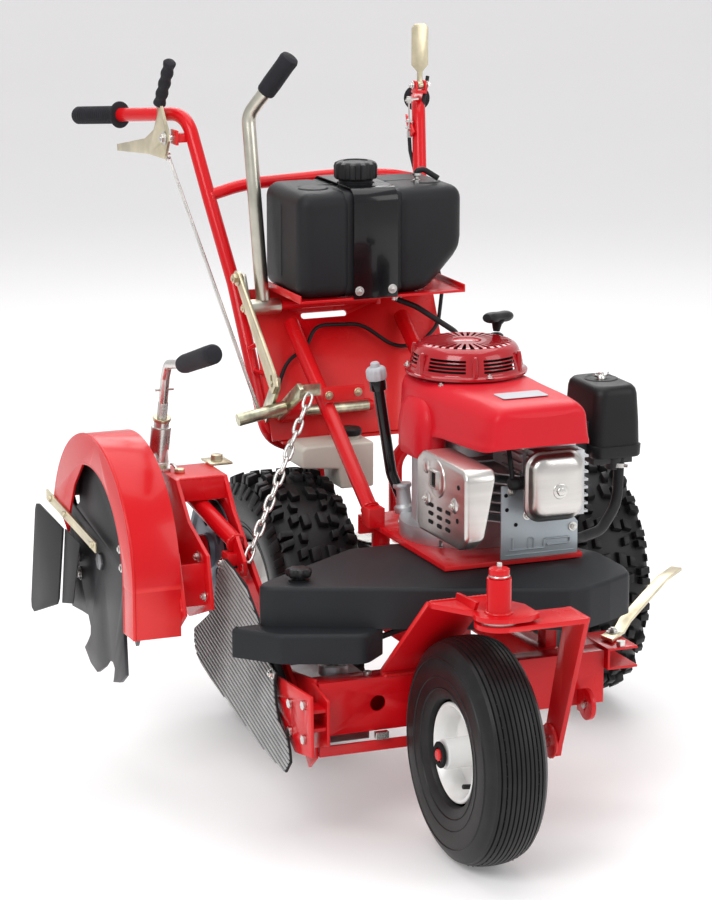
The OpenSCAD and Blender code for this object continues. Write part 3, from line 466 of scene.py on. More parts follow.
# node, material, bevel in millimetres, bevel steps
CARRIED_OVER = [
    ("main_frame", RED, 1.6, 2),
    ("front_beam", RED, 1.3, 2),
    ("frame_fasteners", ZINC, 0.6, 1),
    ("rear_panel", RED, 1.2, 2),
    ("tank_tray", RED, 0.9, 2),
    ("engine_block", ALU, 1.4, 2),
    ("carburettor", ALU, 2.0, 2),
    ("crank_pulley", ZINC, 0.6, 1),
    ("drive_belts", RUBBER, 1.4, 2),
    ("gearbox", ALU, 4.0, 3),
    ("input_pulley", ZINC, 0.6, 1),
    ("output_pulley", PULLEY, 0.6, 1),
    ("transaxle", IRON, 4.0, 3),
    ("transaxle_pulley", ZINC, 0.6, 1),
    ("rear_rim_right", WHITE, 1.2, 2),
    ("rear_rim_left", WHITE, 1.2, 2),
    ("front_rim", WHITE, 1.2, 2),
    ("caster_arm", RED, 2.0, 3),
    ("caster_fork", RED, 2.4, 3),
    ("caster_pins", ZINC, 0.8, 2),
    ("edger_arm", RED, 1.6, 2),
    ("arm_fasteners", YZINC, 0.8, 2),
    ("blade_guard", RED, 1.4, 3),
    ("blade", BLADE, 1.0, 2),
    ("blade_shaft", SHAFT, 0.8, 2),
    ("blade_pulley", PULLEY, 0.8, 2),
    ("arm_belt", RUBBER, 1.6, 2),
    ("deflector_flap", RUBBER, 1.2, 2),
    ("depth_jack", ZINC, 1.0, 2),
    ("lift_link", YZINC, 1.0, 2),
    ("bellcrank", RAINBOW, 1.2, 2),
    ("drive_lever", YZINC, 1.0, 2),
    ("control_rod", ZINC, 0.5, 1),
    ("paddle_lever", YZINC, 0.9, 2),
    ("foot_pedal", YZINC, 1.2, 2),
]
for row in CARRIED_OVER:
    cad_copy(*row)

# ---------------------------------------------------------------- tyres

def hexa_bm(bm, corners):
    v = [bm.verts.new(c) for c in corners]
    for f in ((0, 1, 2, 3), (7, 6, 5, 4), (0, 4, 5, 1), (1, 5, 6, 2), (2, 6, 7, 3), (3, 7, 4, 0)):
        bm.faces.new([v[i] for i in f])


def rear_tyre(name, node, body):
    x0, x1, _, _, z0, z1 = box_mm(node)
    cx, cz = (x0 + x1) / 2, (z0 + z1) / 2
    R, W = (z1 - z0) / 2 - 0.4, (x1 - x0) / 2 - 1.5
    bead = 109.5
    prof = [(bead, -W * 0.70), (bead + 4, -W * 0.80), (bead + 16, -W * 0.88), (150, -W * 0.97), (172, -W),
            (190, -W * 0.965), (203, -W * 0.87), (210, -W * 0.72), (214.5, -W * 0.5), (216.5, -W * 0.25),
            (217, 0)]
    prof = prof + [(r, -w) for r, w in reversed(prof[:-1])]
    prof += [(bead - 1, W * 0.62), (bead + 6, W * 0.55), (190, W * 0.6), (203, 0), (190, -W * 0.6),
             (bead + 6, -W * 0.55), (bead - 1, -W * 0.62)]
    bm = bmesh.new()
    lathe_bm(bm, prof, (cx, 0, cz), (1, 0, 0), 96, True)
    for s in (-1, 1):
        for k in range(2):
            hoop = ((20, 0.895), (22, 0.93), (25, 0.935), (27, 0.90))
            lathe_bm(bm, [(bead + dr + k * 9, s * (W * f + k * 1.9)) for dr, f in hoop], (cx, 0, cz),
                     (1, 0, 0), 96,
                     True)
    finish_mesh(name, bm, TYRE, body, (node,), 40)
    u, v, w = frame_axes((1, 0, 0))
    o = Vector((cx, 0, cz))

    def surf(wx):
        t = min(1.0, abs(wx) / W)
        return 217 - 2.5 * t ** 2 - 11 * t ** 4

    def block(bm, a, wx, da, dw, top, skew=0.0, taper=0.8):
        cs = []
        for lev in (0, 1):
            f = 1.0 if lev == 0 else taper
            for sa, sw in ((-1, -1), (1, -1), (1, 1), (-1, 1)):
                ww = wx + sw * dw * f
                aa = a + (sa * da * f + skew * sw * dw) / R
                base = surf(ww) - 4
                r = base if lev == 0 else min(R, surf(ww) + top)
                cs.append((o + w * ww + (u * math.cos(aa) + v * math.sin(aa)) * r) * MM)
        hexa_bm(bm, cs)

    bm = bmesh.new()
    n = 21
    for i in range(n):
        a = TAU * i / n
        h = a + TAU / n / 2
        for s in (-1, 1):
            # centre pair: a bar with a notch, mirrored about the middle
            block(bm, a, s * 15, 15, 9, 11.3, 0.2 * s)
            block(bm, a + 4.5 / R * s, s * 35, 10.5, 8.5, 11.6, 0.25 * s)
            block(bm, h, s * 28, 9, 7, 11.0, -0.2 * s)
            # shoulder pair
            block(bm, h + 9 / R, s * 58, 7.5, 11, 13, 0.15 * s)
            block(bm, h - 10 / R, s * 57, 7.5, 12, 13, -0.1 * s)
            # side lug wrapping over the shoulder
            for (q, dq) in ((h, 15), (a, 9)):
                cs = []
                for lev in (0, 1):
                    for sa, k in ((-1, 0), (1, 0), (1, 1), (-1, 1)):
                        r0, w0 = ((206, W * 0.84) if k == 0 else (183 if dq > 10 else 190, W * 0.985))
                        grow = 0 if lev == 0 else (7 if k == 0 else 2.5)
                        rr = min(R - 2, r0 - 3 + grow)
                        ww = min(W + 1.0, w0 - 3 + (0 if lev == 0 else (5.5 if k == 0 else 4.2)))
                        f = 1 if lev == 0 else 0.8
                        aa = q + sa * dq * f / R
                        cs.append((o + w * ww * s + (u * math.cos(aa) + v * math.sin(aa)) * rr) * MM)
                hexa_bm(bm, cs)
    finish_mesh(name + "_lugs", bm, TYRE, body, (), 30, 1.1, 2, 25)


rear_tyre("rear_tyre_right", "rear_tire_right", "rear_wheel_right")
rear_tyre("rear_tyre_left", "rear_tire_left", "rear_wheel_left")


def front_tyre():
    x0, x1, y0, y1, z0, z1 = box_mm("front_tire")
    o = ((x0 + x1) / 2, (y0 + y1) / 2, (z0 + z1) / 2)
    R, W = (z1 - z0) / 2 - 0.3, (x1 - x0) / 2 - 0.5
    half = [(84.5, W * 0.70), (87, W * 0.80), (96, W * 0.885), (112, W * 0.965), (130, W), (146, W * 0.985),
            (158, W * 0.93), (166, W * 0.845), (170.5, W * 0.76)]
    # round shoulder to a rounded crown with ribs
    crown = []
    ribs = 11
    for i in range(ribs):
        c = -0.70 + 1.40 * i / (ribs - 1)
        for dx, dr in ((-0.052, 0), (0.040, 0), (0.046, -3.2), (0.066, -3.2)):
            x = c + dx
            if i == ribs - 1 and dr:
                continue
            r = R - 11.5 * (abs(x) / 0.76) ** 2.4 * 0.78
            crown.append((r + dr, x * W))
    prof = [(r, -w) for r, w in half] + crown + [(r, w) for r, w in reversed(half)]
    inside = [(83.6, W * 0.6), (92, W * 0.5), (150, W * 0.55)]
    prof += inside + [(158, 0)] + [(r, -w) for r, w in reversed(inside)]
    bm = bmesh.new()
    lathe_bm(bm, prof, o, (1, 0, 0), 128, True)
    for s in (-1, 1):
        for rr, ww in ((103, 0.925), (121, 0.985), (150, 0.972)):
            side = W * ww
            lathe_bm(bm, [(rr - 1.6, s * (side - 1.0)), (rr, s * min(W + 0.3, side + 1.3)),
                          (rr + 1.6, s * (side - 1.0)), (rr, s * (side - 3))], o, (1, 0, 0), 128, True)
    finish_mesh("front_tyre", bm, TYRE, "front_wheel", ("front_tire",), 30)
    # moulding pips in the grooves
    bm = bmesh.new()
    u, v, w = frame_axes((1, 0, 0))
    for i in range(60):
        a = TAU * i / 60 + 0.02
        for c in (-0.49, 0.49):
            d = u * math.cos(a) + v * math.sin(a)
            p = Vector(o) + w * c * W + d * (R - 5.5)
            sweep_bm(bm, [p * MM, (p + d * 3.4) * MM], 1.0 * MM, 6)
    finish_mesh("front_tyre_pips", bm, TYRE, "front_wheel")
    # valve, snap ring, axle end and grease cap; the snap ring is a near-black ring of painted shade round the
    # axle end
    valve = (o[0] - W * 0.30, o[1] - 18, o[2] - 52)
    tube("front_valve", [valve, (valve[0] - 14, valve[1] - 2, valve[2] + 2)], 4.0, RUBBER, "front_wheel", 5,
         14)
    lathe("front_axle_shade_ring", [(12, 0), (19, 0), (21, 1.5), (21, 4), (19, 5.5), (12, 5.5)],
          (o[0] - 58, o[1], o[2]),
          (-1, 0, 0), PAINTED_SHADE, "front_wheel", 32, True, 0.4)
    lathe("front_axle_end", [(0, 0), (9.6, 0), (9.6, 2.4), (7.5, 4), (0, 4)], (o[0] - 62, o[1], o[2]),
          (-1, 0, 0),
          RED, "caster", 24)


front_tyre()


# ---------------------------------------------------------------- tubes and grips

def handlebar():
    r = 12.4
    left = [(-62, 102, 257), (-62, 102, 440), (-122, 88, 478), (-178, 69.5, 505), (-192, 196, 755),
            (-216, 250.5, 898),
            *HAND_ENDS[0]]
    right = [(79, 102, 257), (79, 102, 440), (122, 88, 478), (158, 69.5, 505), (168, 196, 755),
             (191, 256.5, 910),
             *HAND_ENDS[1]]
    bm = bmesh.new()
    sweep_bm(bm, fillet(left, 55, 10), r * MM, 24)
    sweep_bm(bm, fillet(right, 55, 10), r * MM, 24)
    cross = [(-217, 254, 906), (-150, 257, 922), (19, 257, 929), (130, 257, 924), (191, 256.5, 910)]
    sweep_bm(bm, fillet(cross, 300, 12), 11 * MM, 20)
    # lever pivot bracket, paddle ears
    prism_bm(bm, [(296, 992), (326, 992), (326, 1018), (296, 1018)], -262, -257, "yz")
    box_bm(bm, (-257, 300, 996), (-240, 314, 1012))
    for x in (201, 219):
        prism_bm(bm, [(298, 1066), (318, 1066), (314, 1084), (302, 1084)], x, x + 4, "yz")
    box_bm(bm, (201, 299, 1061), (223, 322, 1066.5))
    finish_mesh("handlebar_tubes", bm, RED, "frame", ("handlebar",), 40, 0.8, 2, 50)
    bm = bmesh.new()
    bead_bm(bm, (-214, 252, 903), (0.95, 0.05, 0.25), 11.6)
    bead_bm(bm, (189, 257, 911), (-0.97, 0, 0.22), 11.6)
    finish_mesh("handlebar_welds", bm, RED, "frame")
    bm = bmesh.new()
    bolt_bm(bm, (-278.5, 312, 1004), (-1, 0, 0), 8, 6)
    bolt_bm(bm, (198, 308, 1076), (-1, 0, 0), 4.5, 4)
    bolt_bm(bm, (226, 308, 1076), (1, 0, 0), 4.5, 4)
    rod_bm(bm, (-284, 312, 1004), (-262, 312, 1004), 4.9)
    rod_bm(bm, (198, 308, 1076), (226, 308, 1076), 2.9)
    finish_mesh("handlebar_pins", bm, ZINC, "frame")


handlebar()


def paddle_cable():
    bm = bmesh.new()
    prism_bm(bm, [(286, 985), (302, 1000), (310, 1024), (296, 1018), (272, 996)], 184, 188, "yz")
    finish_mesh("paddle_cable_bracket", bm, RED, "frame", (), 30, 0.8, 2)
    bm = bmesh.new()
    rod_bm(bm, (184, 292, 1046), (184, 290, 1000), 1.6, 10)
    rod_bm(bm, (184, 292, 1046), (184, 292, 1058), 4.2, 12)
    lathe_bm(bm, [(0, 0), (4.6, 0), (4.6, 12), (0, 12)], (184, 290, 984), (0, 0, 1), 14)
    for z in (1000, 1012, 1050):
        bolt_bm(bm, (184, 291, z), (0, 0, 1), 5, 3.4)
    rod_bm(bm, (180, 294, 1052), (206, 302, 1052), 2.6, 10)
    finish_mesh("paddle_cable_ends", bm, ZINC, "frame", (), 35)
    bm = bmesh.new()
    sweep_bm(bm, fillet([(184, 290, 984), (184, 286, 960), (190, 262, 900), (196, 236, 850)], 30, 8),
             3.4 * MM, 12)
    finish_mesh("paddle_cable_sheath", bm, RUBBER, "frame", (), 50)


paddle_cable()


def grips():
    bm = bmesh.new()
    for a, b in HAND_ENDS:
        a, b = Vector(a), Vector(b)
        v = (b - a).normalized()
        s = b - v * 118
        prof = [(12.6, 0), (23, 0), (24.3, 1.4), (24.3, 3.6), (22.6, 5), (17.6, 6.4)]
        for k in range(17):
            z = 9 + k * 5.8
            prof += [(16.3, z), (16.3, z + 3.4), (15.2, z + 4.0), (15.2, z + 5.2)]
        prof += [(16.2, 108.5), (16.2, 116), (14.6, 119.5), (10, 121.2), (0, 121.8)]
        lathe_bm(bm, prof, s, v, 40)
    finish_mesh("hand_grips_ribbed", bm, GRIP, "frame", ("hand_grips",), 40)


grips()


def lever_parts():
    bm = bmesh.new()
    stem = [(-160, 137, 733), (-160, 204, 1052), (-146, 190, 1078), (-134, 176, 1100)]
    sweep_bm(bm, fillet(stem, 40, 10), 12.3 * MM, 24)
    lathe_bm(bm, [(8.1, 0), (14, 0), (14, 55), (8.1, 55)], (-185, 135, 723), (1, 0, 0), 32, True)
    prism_bm(bm, [(122, 716), (150, 716), (172, 766), (168, 780), (154, 780), (150, 776)], -191, -185, "yz")
    finish_mesh("lift_lever_tube", bm, LEVER, "lever_body", ("lift_lever",), 40, 0.7, 2, 50)
    a, b = Vector((-136, 178, 1096)), Vector((-105, 140, 1158))
    v = (b - a).normalized()
    lathe("lift_lever_grip", [(12.4, -2), (15.6, -2), (16.8, 1), (17.4, 20), (17.0, 60), (17.6, 74),
                              (15.6, 79), (9, 81.6),
                              (0, 82)], a, v, GRIP, "lever_body", 40)
    bm = bmesh.new()
    bolt_bm(bm, (-199.5, 161, 772), (-1, 0, 0), 9, 7)
    bolt_bm(bm, (-192, 135, 723), (-1, 0, 0), 8, 6)
    finish_mesh("lift_lever_bolts", bm, YZINC, "lever_body")
    # finger grip on the drive lever with four waves
    a, b = Vector((-275.5, 344.5, 1062)), Vector((-275.5, 285, 1143))
    prof = [(8, -2)]
    L = (b - a).length
    for k in range(33):
        t = k / 32
        prof.append((10.6 + 1.0 * math.cos(t * TAU * 4), t * (L - 4)))
    prof += [(9, L - 1), (0, L + 0.5)]
    lathe("drive_lever_finger_grip", prof, a, b - a, GRIP, "drive_lever_body", 32)
    # depth crank: bent rod, foam grip
    u, p0 = JACK_UP, JACK_FOOT
    bm = bmesh.new()
    sweep_bm(bm, fillet([p0 + u * 33, p0 + u * 172, (-440, -160, 699), (-440, -236, 713)], 22, 10), 7.8 * MM,
             20)
    for k in range(14):
        lathe_bm(bm, [(7.6, 0), (8.7, 0.9), (7.6, 1.8)], p0 + u * (92.5 + k * 2.4), u, 24)
    rod_bm(bm, p0 + u * 150 + Vector((-16, 0, 0)), p0 + u * 150 + Vector((16, 0, 0)), 3)
    finish_mesh("depth_crank_rod", bm, ZINC, "depth_crank_body", ("depth_crank",), 40)
    a, b = Vector((-440, -236, 713)), Vector((-440, -388, 760))
    L = (b - a).length
    lathe("depth_crank_grip", [(7.8, 0), (12.5, 0), (14.6, 3), (15.8, 14), (16, 60), (16.6, L - 34),
                               (16.4, L - 10),
                               (13.6, L - 3), (7, L), (0, L + 0.4)], a, b - a, GRIP, "depth_crank_body", 40)


lever_parts()


def chain():
    """thirteen links that hang in a slight curve, each turned against the next"""
    top = Vector((-150, -62, 604)) * MM
    drop = Vector((-362, -318, 394)) * MM - top
    links, steps, sag = 13, 28, 0.004
    wire, width = 2.7 * MM, 6.4 * MM
    half = drop.length / links / 2 + wire
    t = drop.normalized()
    side = t.cross(Vector((0, 0, 1))).normalized()
    up = side.cross(t).normalized()
    bm = bmesh.new()
    for i in range(links):
        f = (i + 0.5) / links
        c = top + drop * f - Vector((0, 0, 1)) * (math.sin(f * math.pi) * sag)
        ang = math.radians(40 + (90 if i % 2 else 0) + random.uniform(-8, 8))
        s = side * math.cos(ang) + up * math.sin(ang)
        pts = []
        for q in angles(steps):
            ex = math.copysign(abs(math.cos(q)) ** 0.75, math.cos(q)) * half
            ey = math.copysign(abs(math.sin(q)) ** 0.75, math.sin(q)) * width
            pts.append(c + t * ex + s * ey)
        hoop_bm(bm, pts, s.cross(t).normalized(), [wire] * steps, 10)
    finish_mesh("lift_chain_links", bm, ZINC, "chain_body", ("lift_chain",), 180)


chain()


def hoses():
    bm = bmesh.new()
    sweep_bm(bm, fillet([(60, 60, 749), (60, 60, 735), (92, 40, 722), (130, -40, 690), (146, -180, 620),
                         (140, -280, 560),
                         (124, -366, 532)], 40, 8), 5 * MM, 16)
    intake = [(262, -425, 541), (252, -440, 462), (205, -475, 428), (155, -500, 426), (126, -520, 430)]
    sweep_bm(bm, fillet(intake, 60, 10), 9 * MM, 20)
    sweep_bm(bm, fillet([(-2, -572, 555), (-6, -572, 585), (-4, -560, 604)], 12), 4 * MM, 14)
    sweep_bm(bm, fillet([(232, 318, 1090), (206, 300, 990), (193, 235, 850), (190, 150, 730), (168, 118, 670),
                         (125, 100, 640), (75, 100, 640), (20, 120, 682), (-68, 120, 686), (-90, 106, 650),
                         (-130, 98, 630), (-158, 80, 580)], 60, 8), 3.5 * MM, 14)
    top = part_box("fuel_tank")[1].z / MM - 26
    vent = [(100, 60, top + 12), (100, 60, top + 22), (112, 56, top + 24), (136, 48, top + 8)]
    sweep_bm(bm, fillet(vent, 10), 5 * MM, 14)
    finish_mesh("hoses_and_cable", bm, RUBBER, "frame", ("hoses_and_cables",), 50)
    # spark plug cap with ribs
    prof = [(0, 0), (8, 0), (10.5, 2)]
    for k in range(5):
        prof += [(10.8, 4 + k * 4), (9.6, 5 + k * 4), (9.6, 6.6 + k * 4), (10.8, 7.4 + k * 4)]
    prof += [(10.8, 30), (9, 36), (0, 37)]
    lathe("plug_cap", prof, (29, -572, 548), (-1, 0, 0), RUBBER, "frame", 28)
    bm = bmesh.new()
    for p, ax, r in (((60, 60, 733), (0, 0, 1), 5.2), ((137, -300, 553), (0, 0.86, 0.5), 5.2),
                     ((259, -429, 520), (0.1, 0.1, 1), 9.2)):
        lathe_bm(bm, [(r, 0), (r + 1.2, 0), (r + 1.2, 7), (r, 7)], p, ax, 24, True)
        o = Vector(p) + Vector(ax).normalized() * 3.5
        u = frame_axes(ax)[0]
        rod_bm(bm, o + u * (r + 1), o + u * (r + 7), 2.6, 10)
    lathe_bm(bm, [(0, 0), (6.5, 0), (6.5, 6), (4, 8), (4, 14), (8, 14), (8, 18), (0, 18)], (100, 60, top),
             (0, 0, 1), 20)
    lathe_bm(bm, [(0, 0), (7, 0), (7, -6), (4.5, -7), (4.5, -14), (0, -14)], (60, 60, 747), (0, 0, 1), 20)
    finish_mesh("hose_clamps", bm, ZINC, "frame")


hoses()


# ---------------------------------------------------------------- fuel tank

def fuel_tank():
    x0, x1, _, y1, z0, z1 = box_mm("fuel_tank")
    y0 = 10
    z1 -= 26
    # two round-shouldered lobes with a slimmer waist under the strap
    lobes = (("fuel_tank_left_lobe", [(x0, z0), (-36, z0), (-36, z1), (x0, z1)]),
             ("fuel_tank_right_lobe", [(39, z0), (x1 - 66, z0), (x1, z0 + 74), (x1, z1), (39, z1)]))
    for name, pts in lobes:
        bm = bmesh.new()
        prism_bm(bm, pts, y0, y1, "xz")
        finish_mesh(name, bm, TANK, "frame", (), 60, 25, 7, 20)
    bm = bmesh.new()
    prism_bm(bm, [(-60, z0 + 1), (60, z0 + 1), (60, z1 - 1.5), (-60, z1 - 1.5)], y0 + 2, y1 - 2, "xz")
    finish_mesh("fuel_tank_waist", bm, TANK, "frame", ("fuel_tank",), 60, 16, 6, 20)
    # faint moulding line and a shallow round boss on each lobe
    bm = bmesh.new()
    yc = (y0 + y1) / 2
    pts = [(x0 + 0.2, yc, z0 + 30), (x0 + 0.2, yc, z1 - 26), (x0 + 24, yc, z1 - 0.2), (-40, yc, z1 - 0.2)]
    sweep_bm(bm, fillet(pts, 22), 0.9 * MM, 8)
    pts = [(44, yc, z1 - 0.2), (x1 - 26, yc, z1 - 0.2), (x1 - 0.2, yc, z1 - 26), (x1 - 0.2, yc, z0 + 98)]
    sweep_bm(bm, fillet(pts, 22), 0.9 * MM, 8)
    for x in (x0 + 48, 122):
        lathe_bm(bm, [(0, 0), (27, 0), (26, 1.6), (23, 2.6), (0, 2.8)], (x, yc - 30, z1 - 0.4), (0, 0, 1), 40)
    finish_mesh("fuel_tank_ridges", bm, TANK, "frame", (), 60)
    # filler neck with ribs
    prof = [(0, 0), (31, 0), (31, 4)]
    for k in range(5):
        prof += [(30, 5 + k * 4), (30, 7 + k * 4), (28.6, 7.6 + k * 4), (28.6, 8.6 + k * 4)]
    prof += [(28.8, 25.8), (22, 25.8), (22, 10), (0, 10)]
    lathe("fuel_tank_neck", prof, (-8, 78, z1 - 1), (0, 0, 1), TANK, "frame", 48)
    # strap: bent band over the tank, with a hole for the neck
    t, rad = 2.6, 20
    path = [(y0 - t, z0 - 2)] + arc(y0 + rad, z1 - rad, rad + t, 180, 90, 8)
    path += arc(y1 - rad, z1 - rad, rad + t, 90, 0, 8) + [(y1 + t, z0 + 10)]
    bm = bmesh.new()
    skin(bm, [[bm.verts.new(Vector((x, y, z)) * MM) for x in (-40, 42)] for y, z in path], False)
    strap = new_object("tank_strap_band", bm, GLOSS_BLACK)
    modify(strap, "SOLIDIFY", thickness=2.2 * MM, offset=1.0)
    bm = bmesh.new()
    lathe_bm(bm, [(0, -30), (33, -30), (33, 30), (0, 30)], (-8, 78, z1), (0, 0, 1), 48)
    cutter = new_object("cutter", bm, GLOSS_BLACK)
    modify(strap, "BOOLEAN", operation="DIFFERENCE", object=cutter, solver="EXACT")
    bpy.data.objects.remove(cutter)
    modify(strap, "BEVEL", width=0.6 * MM, segments=2, limit_method="ANGLE")
    settle(strap, "frame", ("tank_strap",))
    bolts("tank_strap_bolts", [((x, y0 - t - 2, z0 + 12), (0, -1, 0)) for x in (-30, 32)], ZINC, "frame", 5.5,
          4)

    def scallop(a):
        return 1.35 * (1 if math.cos(a * 12) > 0 else -1) * min(1, abs(math.cos(a * 12)) * 3)

    lobed("fuel_cap_moulded", [(30, 12, 0), (34.5, 12.5, 1), (36.6, 15, 1), (37, 34, 1), (35, 39.5, 1),
                               (30, 42.4, 0.3),
                               (22, 43.6, 0), (20.5, 41.6, 0), (6, 41.4, 0)], (-8, 78, z1), (0, 0, 1),
                               scallop, 120,
          BLACK_PLASTIC, "fuel_cap_body", ("fuel_cap",), 35)


fuel_tank()

# ---------------------------------------------------------------- engine

def shroud():
    z1 = box_mm("engine_shroud")[5] - 3
    # stations front to back: y, left x, right x, top z, bottom z, shoulder radius
    st = [(-623, -46, 98, z1 - 22, 618, 12), (-617, -56, 108, z1 - 8, 614, 22),
          (-604, -63, 114, z1 - 3, 611, 30),
          (-560, -68, 118, z1, 609, 34), (-500, -74, 117, z1, 608, 34), (-452, -78, 116, z1, 607, 32),
          (-425, -80, 117, z1 - 1, 600, 28), (-400, -84, 118, z1 - 2, 584, 26),
          (-372, -88, 118, z1 - 3, 566, 24),
          (-340, -89, 118, z1 - 3, 562, 24), (-300, -84, 113, z1 - 3, 562, 24),
          (-268, -66, 92, z1 - 3, 564, 26),
          (-252, -44, 70, z1 - 8, 570, 24)]
    bm = bmesh.new()
    rings = []
    lip = 2.4
    for y, xl, xr, zt, zb, r in st:
        mid = (zb + zt) / 2 - 6
        ring = [(xl - 1.5 - lip, zb), (xl - 1.5 - lip, zb + 9), (xl - 1.5, zb + 11), (xl, mid)]
        ring += arc(xl + r + 2, zt - r, r, 180, 90, 8) + arc(xr - r - 2, zt - r, r, 90, 0, 8)
        ring += [(xr, mid), (xr + 1.5, zb + 11), (xr + 1.5 + lip, zb + 9), (xr + 1.5 + lip, zb)]
        rings.append([bm.verts.new(Vector((x, y, z)) * MM) for x, z in ring])
    skin(bm, rings, False)
    # closed front and back
    for ring in (rings[0], rings[-1]):
        m = len(ring)
        for k in range(m // 2 - 1):
            bm.faces.new((ring[k], ring[k + 1], ring[m - 2 - k], ring[m - 1 - k]))
    ob = new_object("engine_shroud_moulding", bm, RED_PLASTIC)
    modify(ob, "SUBSURF", levels=2, render_levels=2)
    modify(ob, "SOLIDIFY", thickness=2.2 * MM, offset=-1)
    settle(ob, "frame", ("engine_shroud",), 45)
    # side bulge over the muffler side and rear lobe
    bm = bmesh.new()
    bmesh.ops.create_uvsphere(bm, u_segments=36, v_segments=18, radius=1)
    for v in bm.verts:
        s = Vector((math.copysign(abs(v.co.x) ** 0.7, v.co.x), math.copysign(abs(v.co.y) ** 0.7, v.co.y),
                    math.copysign(abs(v.co.z) ** 0.8, v.co.z)))
        v.co = Vector((-74 + s.x * 28, -372 + s.y * 60, 594 + s.z * 66)) * MM
        v.co.z = max(v.co.z, 0.5615)
    finish_mesh("engine_shroud_lobe", bm, RED_PLASTIC, "frame", (), 60)
    # a blank plate where a label sits
    bm = bmesh.new()
    prism_bm(bm, round_rect(-18, -570, 62, -528, 4, 4), z1 + 0.2, z1 + 1.0)
    finish_mesh("shroud_plate_blank", bm, GREY, "frame", (), 40, 0.3, 1)
    bolts("shroud_bolts", [((70, -300, z1 - 3), (0.1, 0, 1)), ((-60, -420, z1 - 6), (-0.3, 0, 1))], ZINC,
          "frame", 5, 4)


shroud()


def recoil():
    x0, x1, y0, y1, zb, _ = box_mm("recoil_cover")
    c = ((x0 + x1) / 2, (y0 + y1) / 2)
    R = (x1 - x0) / 2
    rim = [(R, 0.0), (R, 3.5), (R - 5, 5.5), (R - 7, 8)]
    wall = [(R - 7 - (k / 15) ** 1.5 * 7.5, 8 + 29 * k / 15) for k in range(1, 16)]
    top = [(R - 17, 42), (R - 21, 46), (R - 27, 49), (R - 32, 50.2)]
    roof = [(R - 34 - (R - 59) * k / 5, 50.4) for k in range(6)]
    hub = [(24, 49), (20, 47), (10, 46.6)]
    n = 192
    bm = bmesh.new()
    rings = [[bm.verts.new(Vector((c[0] + r * math.cos(a), c[1] + r * math.sin(a),
                                   zb + z)) * MM) for a in angles(n)]
             for r, z in rim + wall + top + roof + hub]
    centre = bm.verts.new(Vector((c[0], c[1], zb + 46.6)) * MM)
    first_slot = len(rim)
    first_fan = len(rim + wall + top) - 2
    for i, (a, b) in enumerate(zip(rings, rings[1:])):
        for k in range(n):
            # six fields of three-row slots in the wall, and a fan of slots in the roof
            in_field = 5 <= (k - 8) % 32 < 27
            if in_field and 0 <= i - first_slot < 13 and (i - first_slot) % 3:
                continue
            if first_fan <= i < first_fan + 6 and k % 6 in (2, 3, 4):
                continue
            bm.faces.new((a[k], a[(k + 1) % n], b[(k + 1) % n], b[k]))
    for k in range(n):
        bm.faces.new((rings[-1][k], rings[-1][(k + 1) % n], centre))
    finish_sheet("recoil_cover_louvred", bm, RED_GLOSS, "frame", ("recoil_cover",), 40, 2.4)
    # a near-black drum of painted shade for the dark inside the louvred cover
    lathe("recoil_inner_shade_drum", [(0, 2), (R - 24, 2), (R - 28, 30), (R - 40, 43), (0, 43)], (c[0], c[1], zb),
          (0, 0, 1), PAINTED_SHADE,
          "frame", 48)
    bm = bmesh.new()
    for a in angles(6, TAU / 24):
        p = (c[0] + (R - 9) * math.cos(a), c[1] + (R - 9) * math.sin(a), zb)
        lathe_bm(bm, [(0, 4), (5.5, 4), (5.5, 10), (4.8, 30), (3.0, 39), (0, 40)], p, (0, 0, 1), 16)
    finish_mesh("recoil_ribs", bm, RED_GLOSS, "frame", (), 50)
    bolts("recoil_bolts", [((c[0] + (R - 4) * math.cos(a), c[1] + (R - 4) * math.sin(a), zb + 5), (0, 0, 1))
                           for a in (0.5, 2.6, 4.7)], ZINC, "frame", 4.5, 3.5)
    # T handle
    bm = bmesh.new()
    a, b = Vector((62, -326, 769)), Vector((120, -290, 763))
    pts = [a.lerp(b, k / 10) for k in range(11)]
    rs = [8.5, 11.0, 11.8, 11.6, 11.2, 11.0, 11.2, 11.6, 11.8, 11.0, 8.5]
    sweep_bm(bm, [p * MM for p in pts], [r * MM for r in rs], 18, flat=0.8)
    lathe_bm(bm, [(0, 0), (5.5, 0), (6.5, 4), (8.5, 12), (14, 19), (0, 23)], (88, -308, 742), (0.1, 0.05, 1),
             20)
    finish_mesh("starter_handle_grip", bm, BLACK_PLASTIC, "starter", ("starter_handle",), 45,
                0.5, 2)
    lathe("starter_rope_guide", [(0, 0), (12, 0), (12, 3), (8, 6), (6, 6), (6, 3), (0, 3)],
          (88, -308, zb + 43), (0, 0, 1),
          BLACK_PLASTIC, "frame", 24)


recoil()


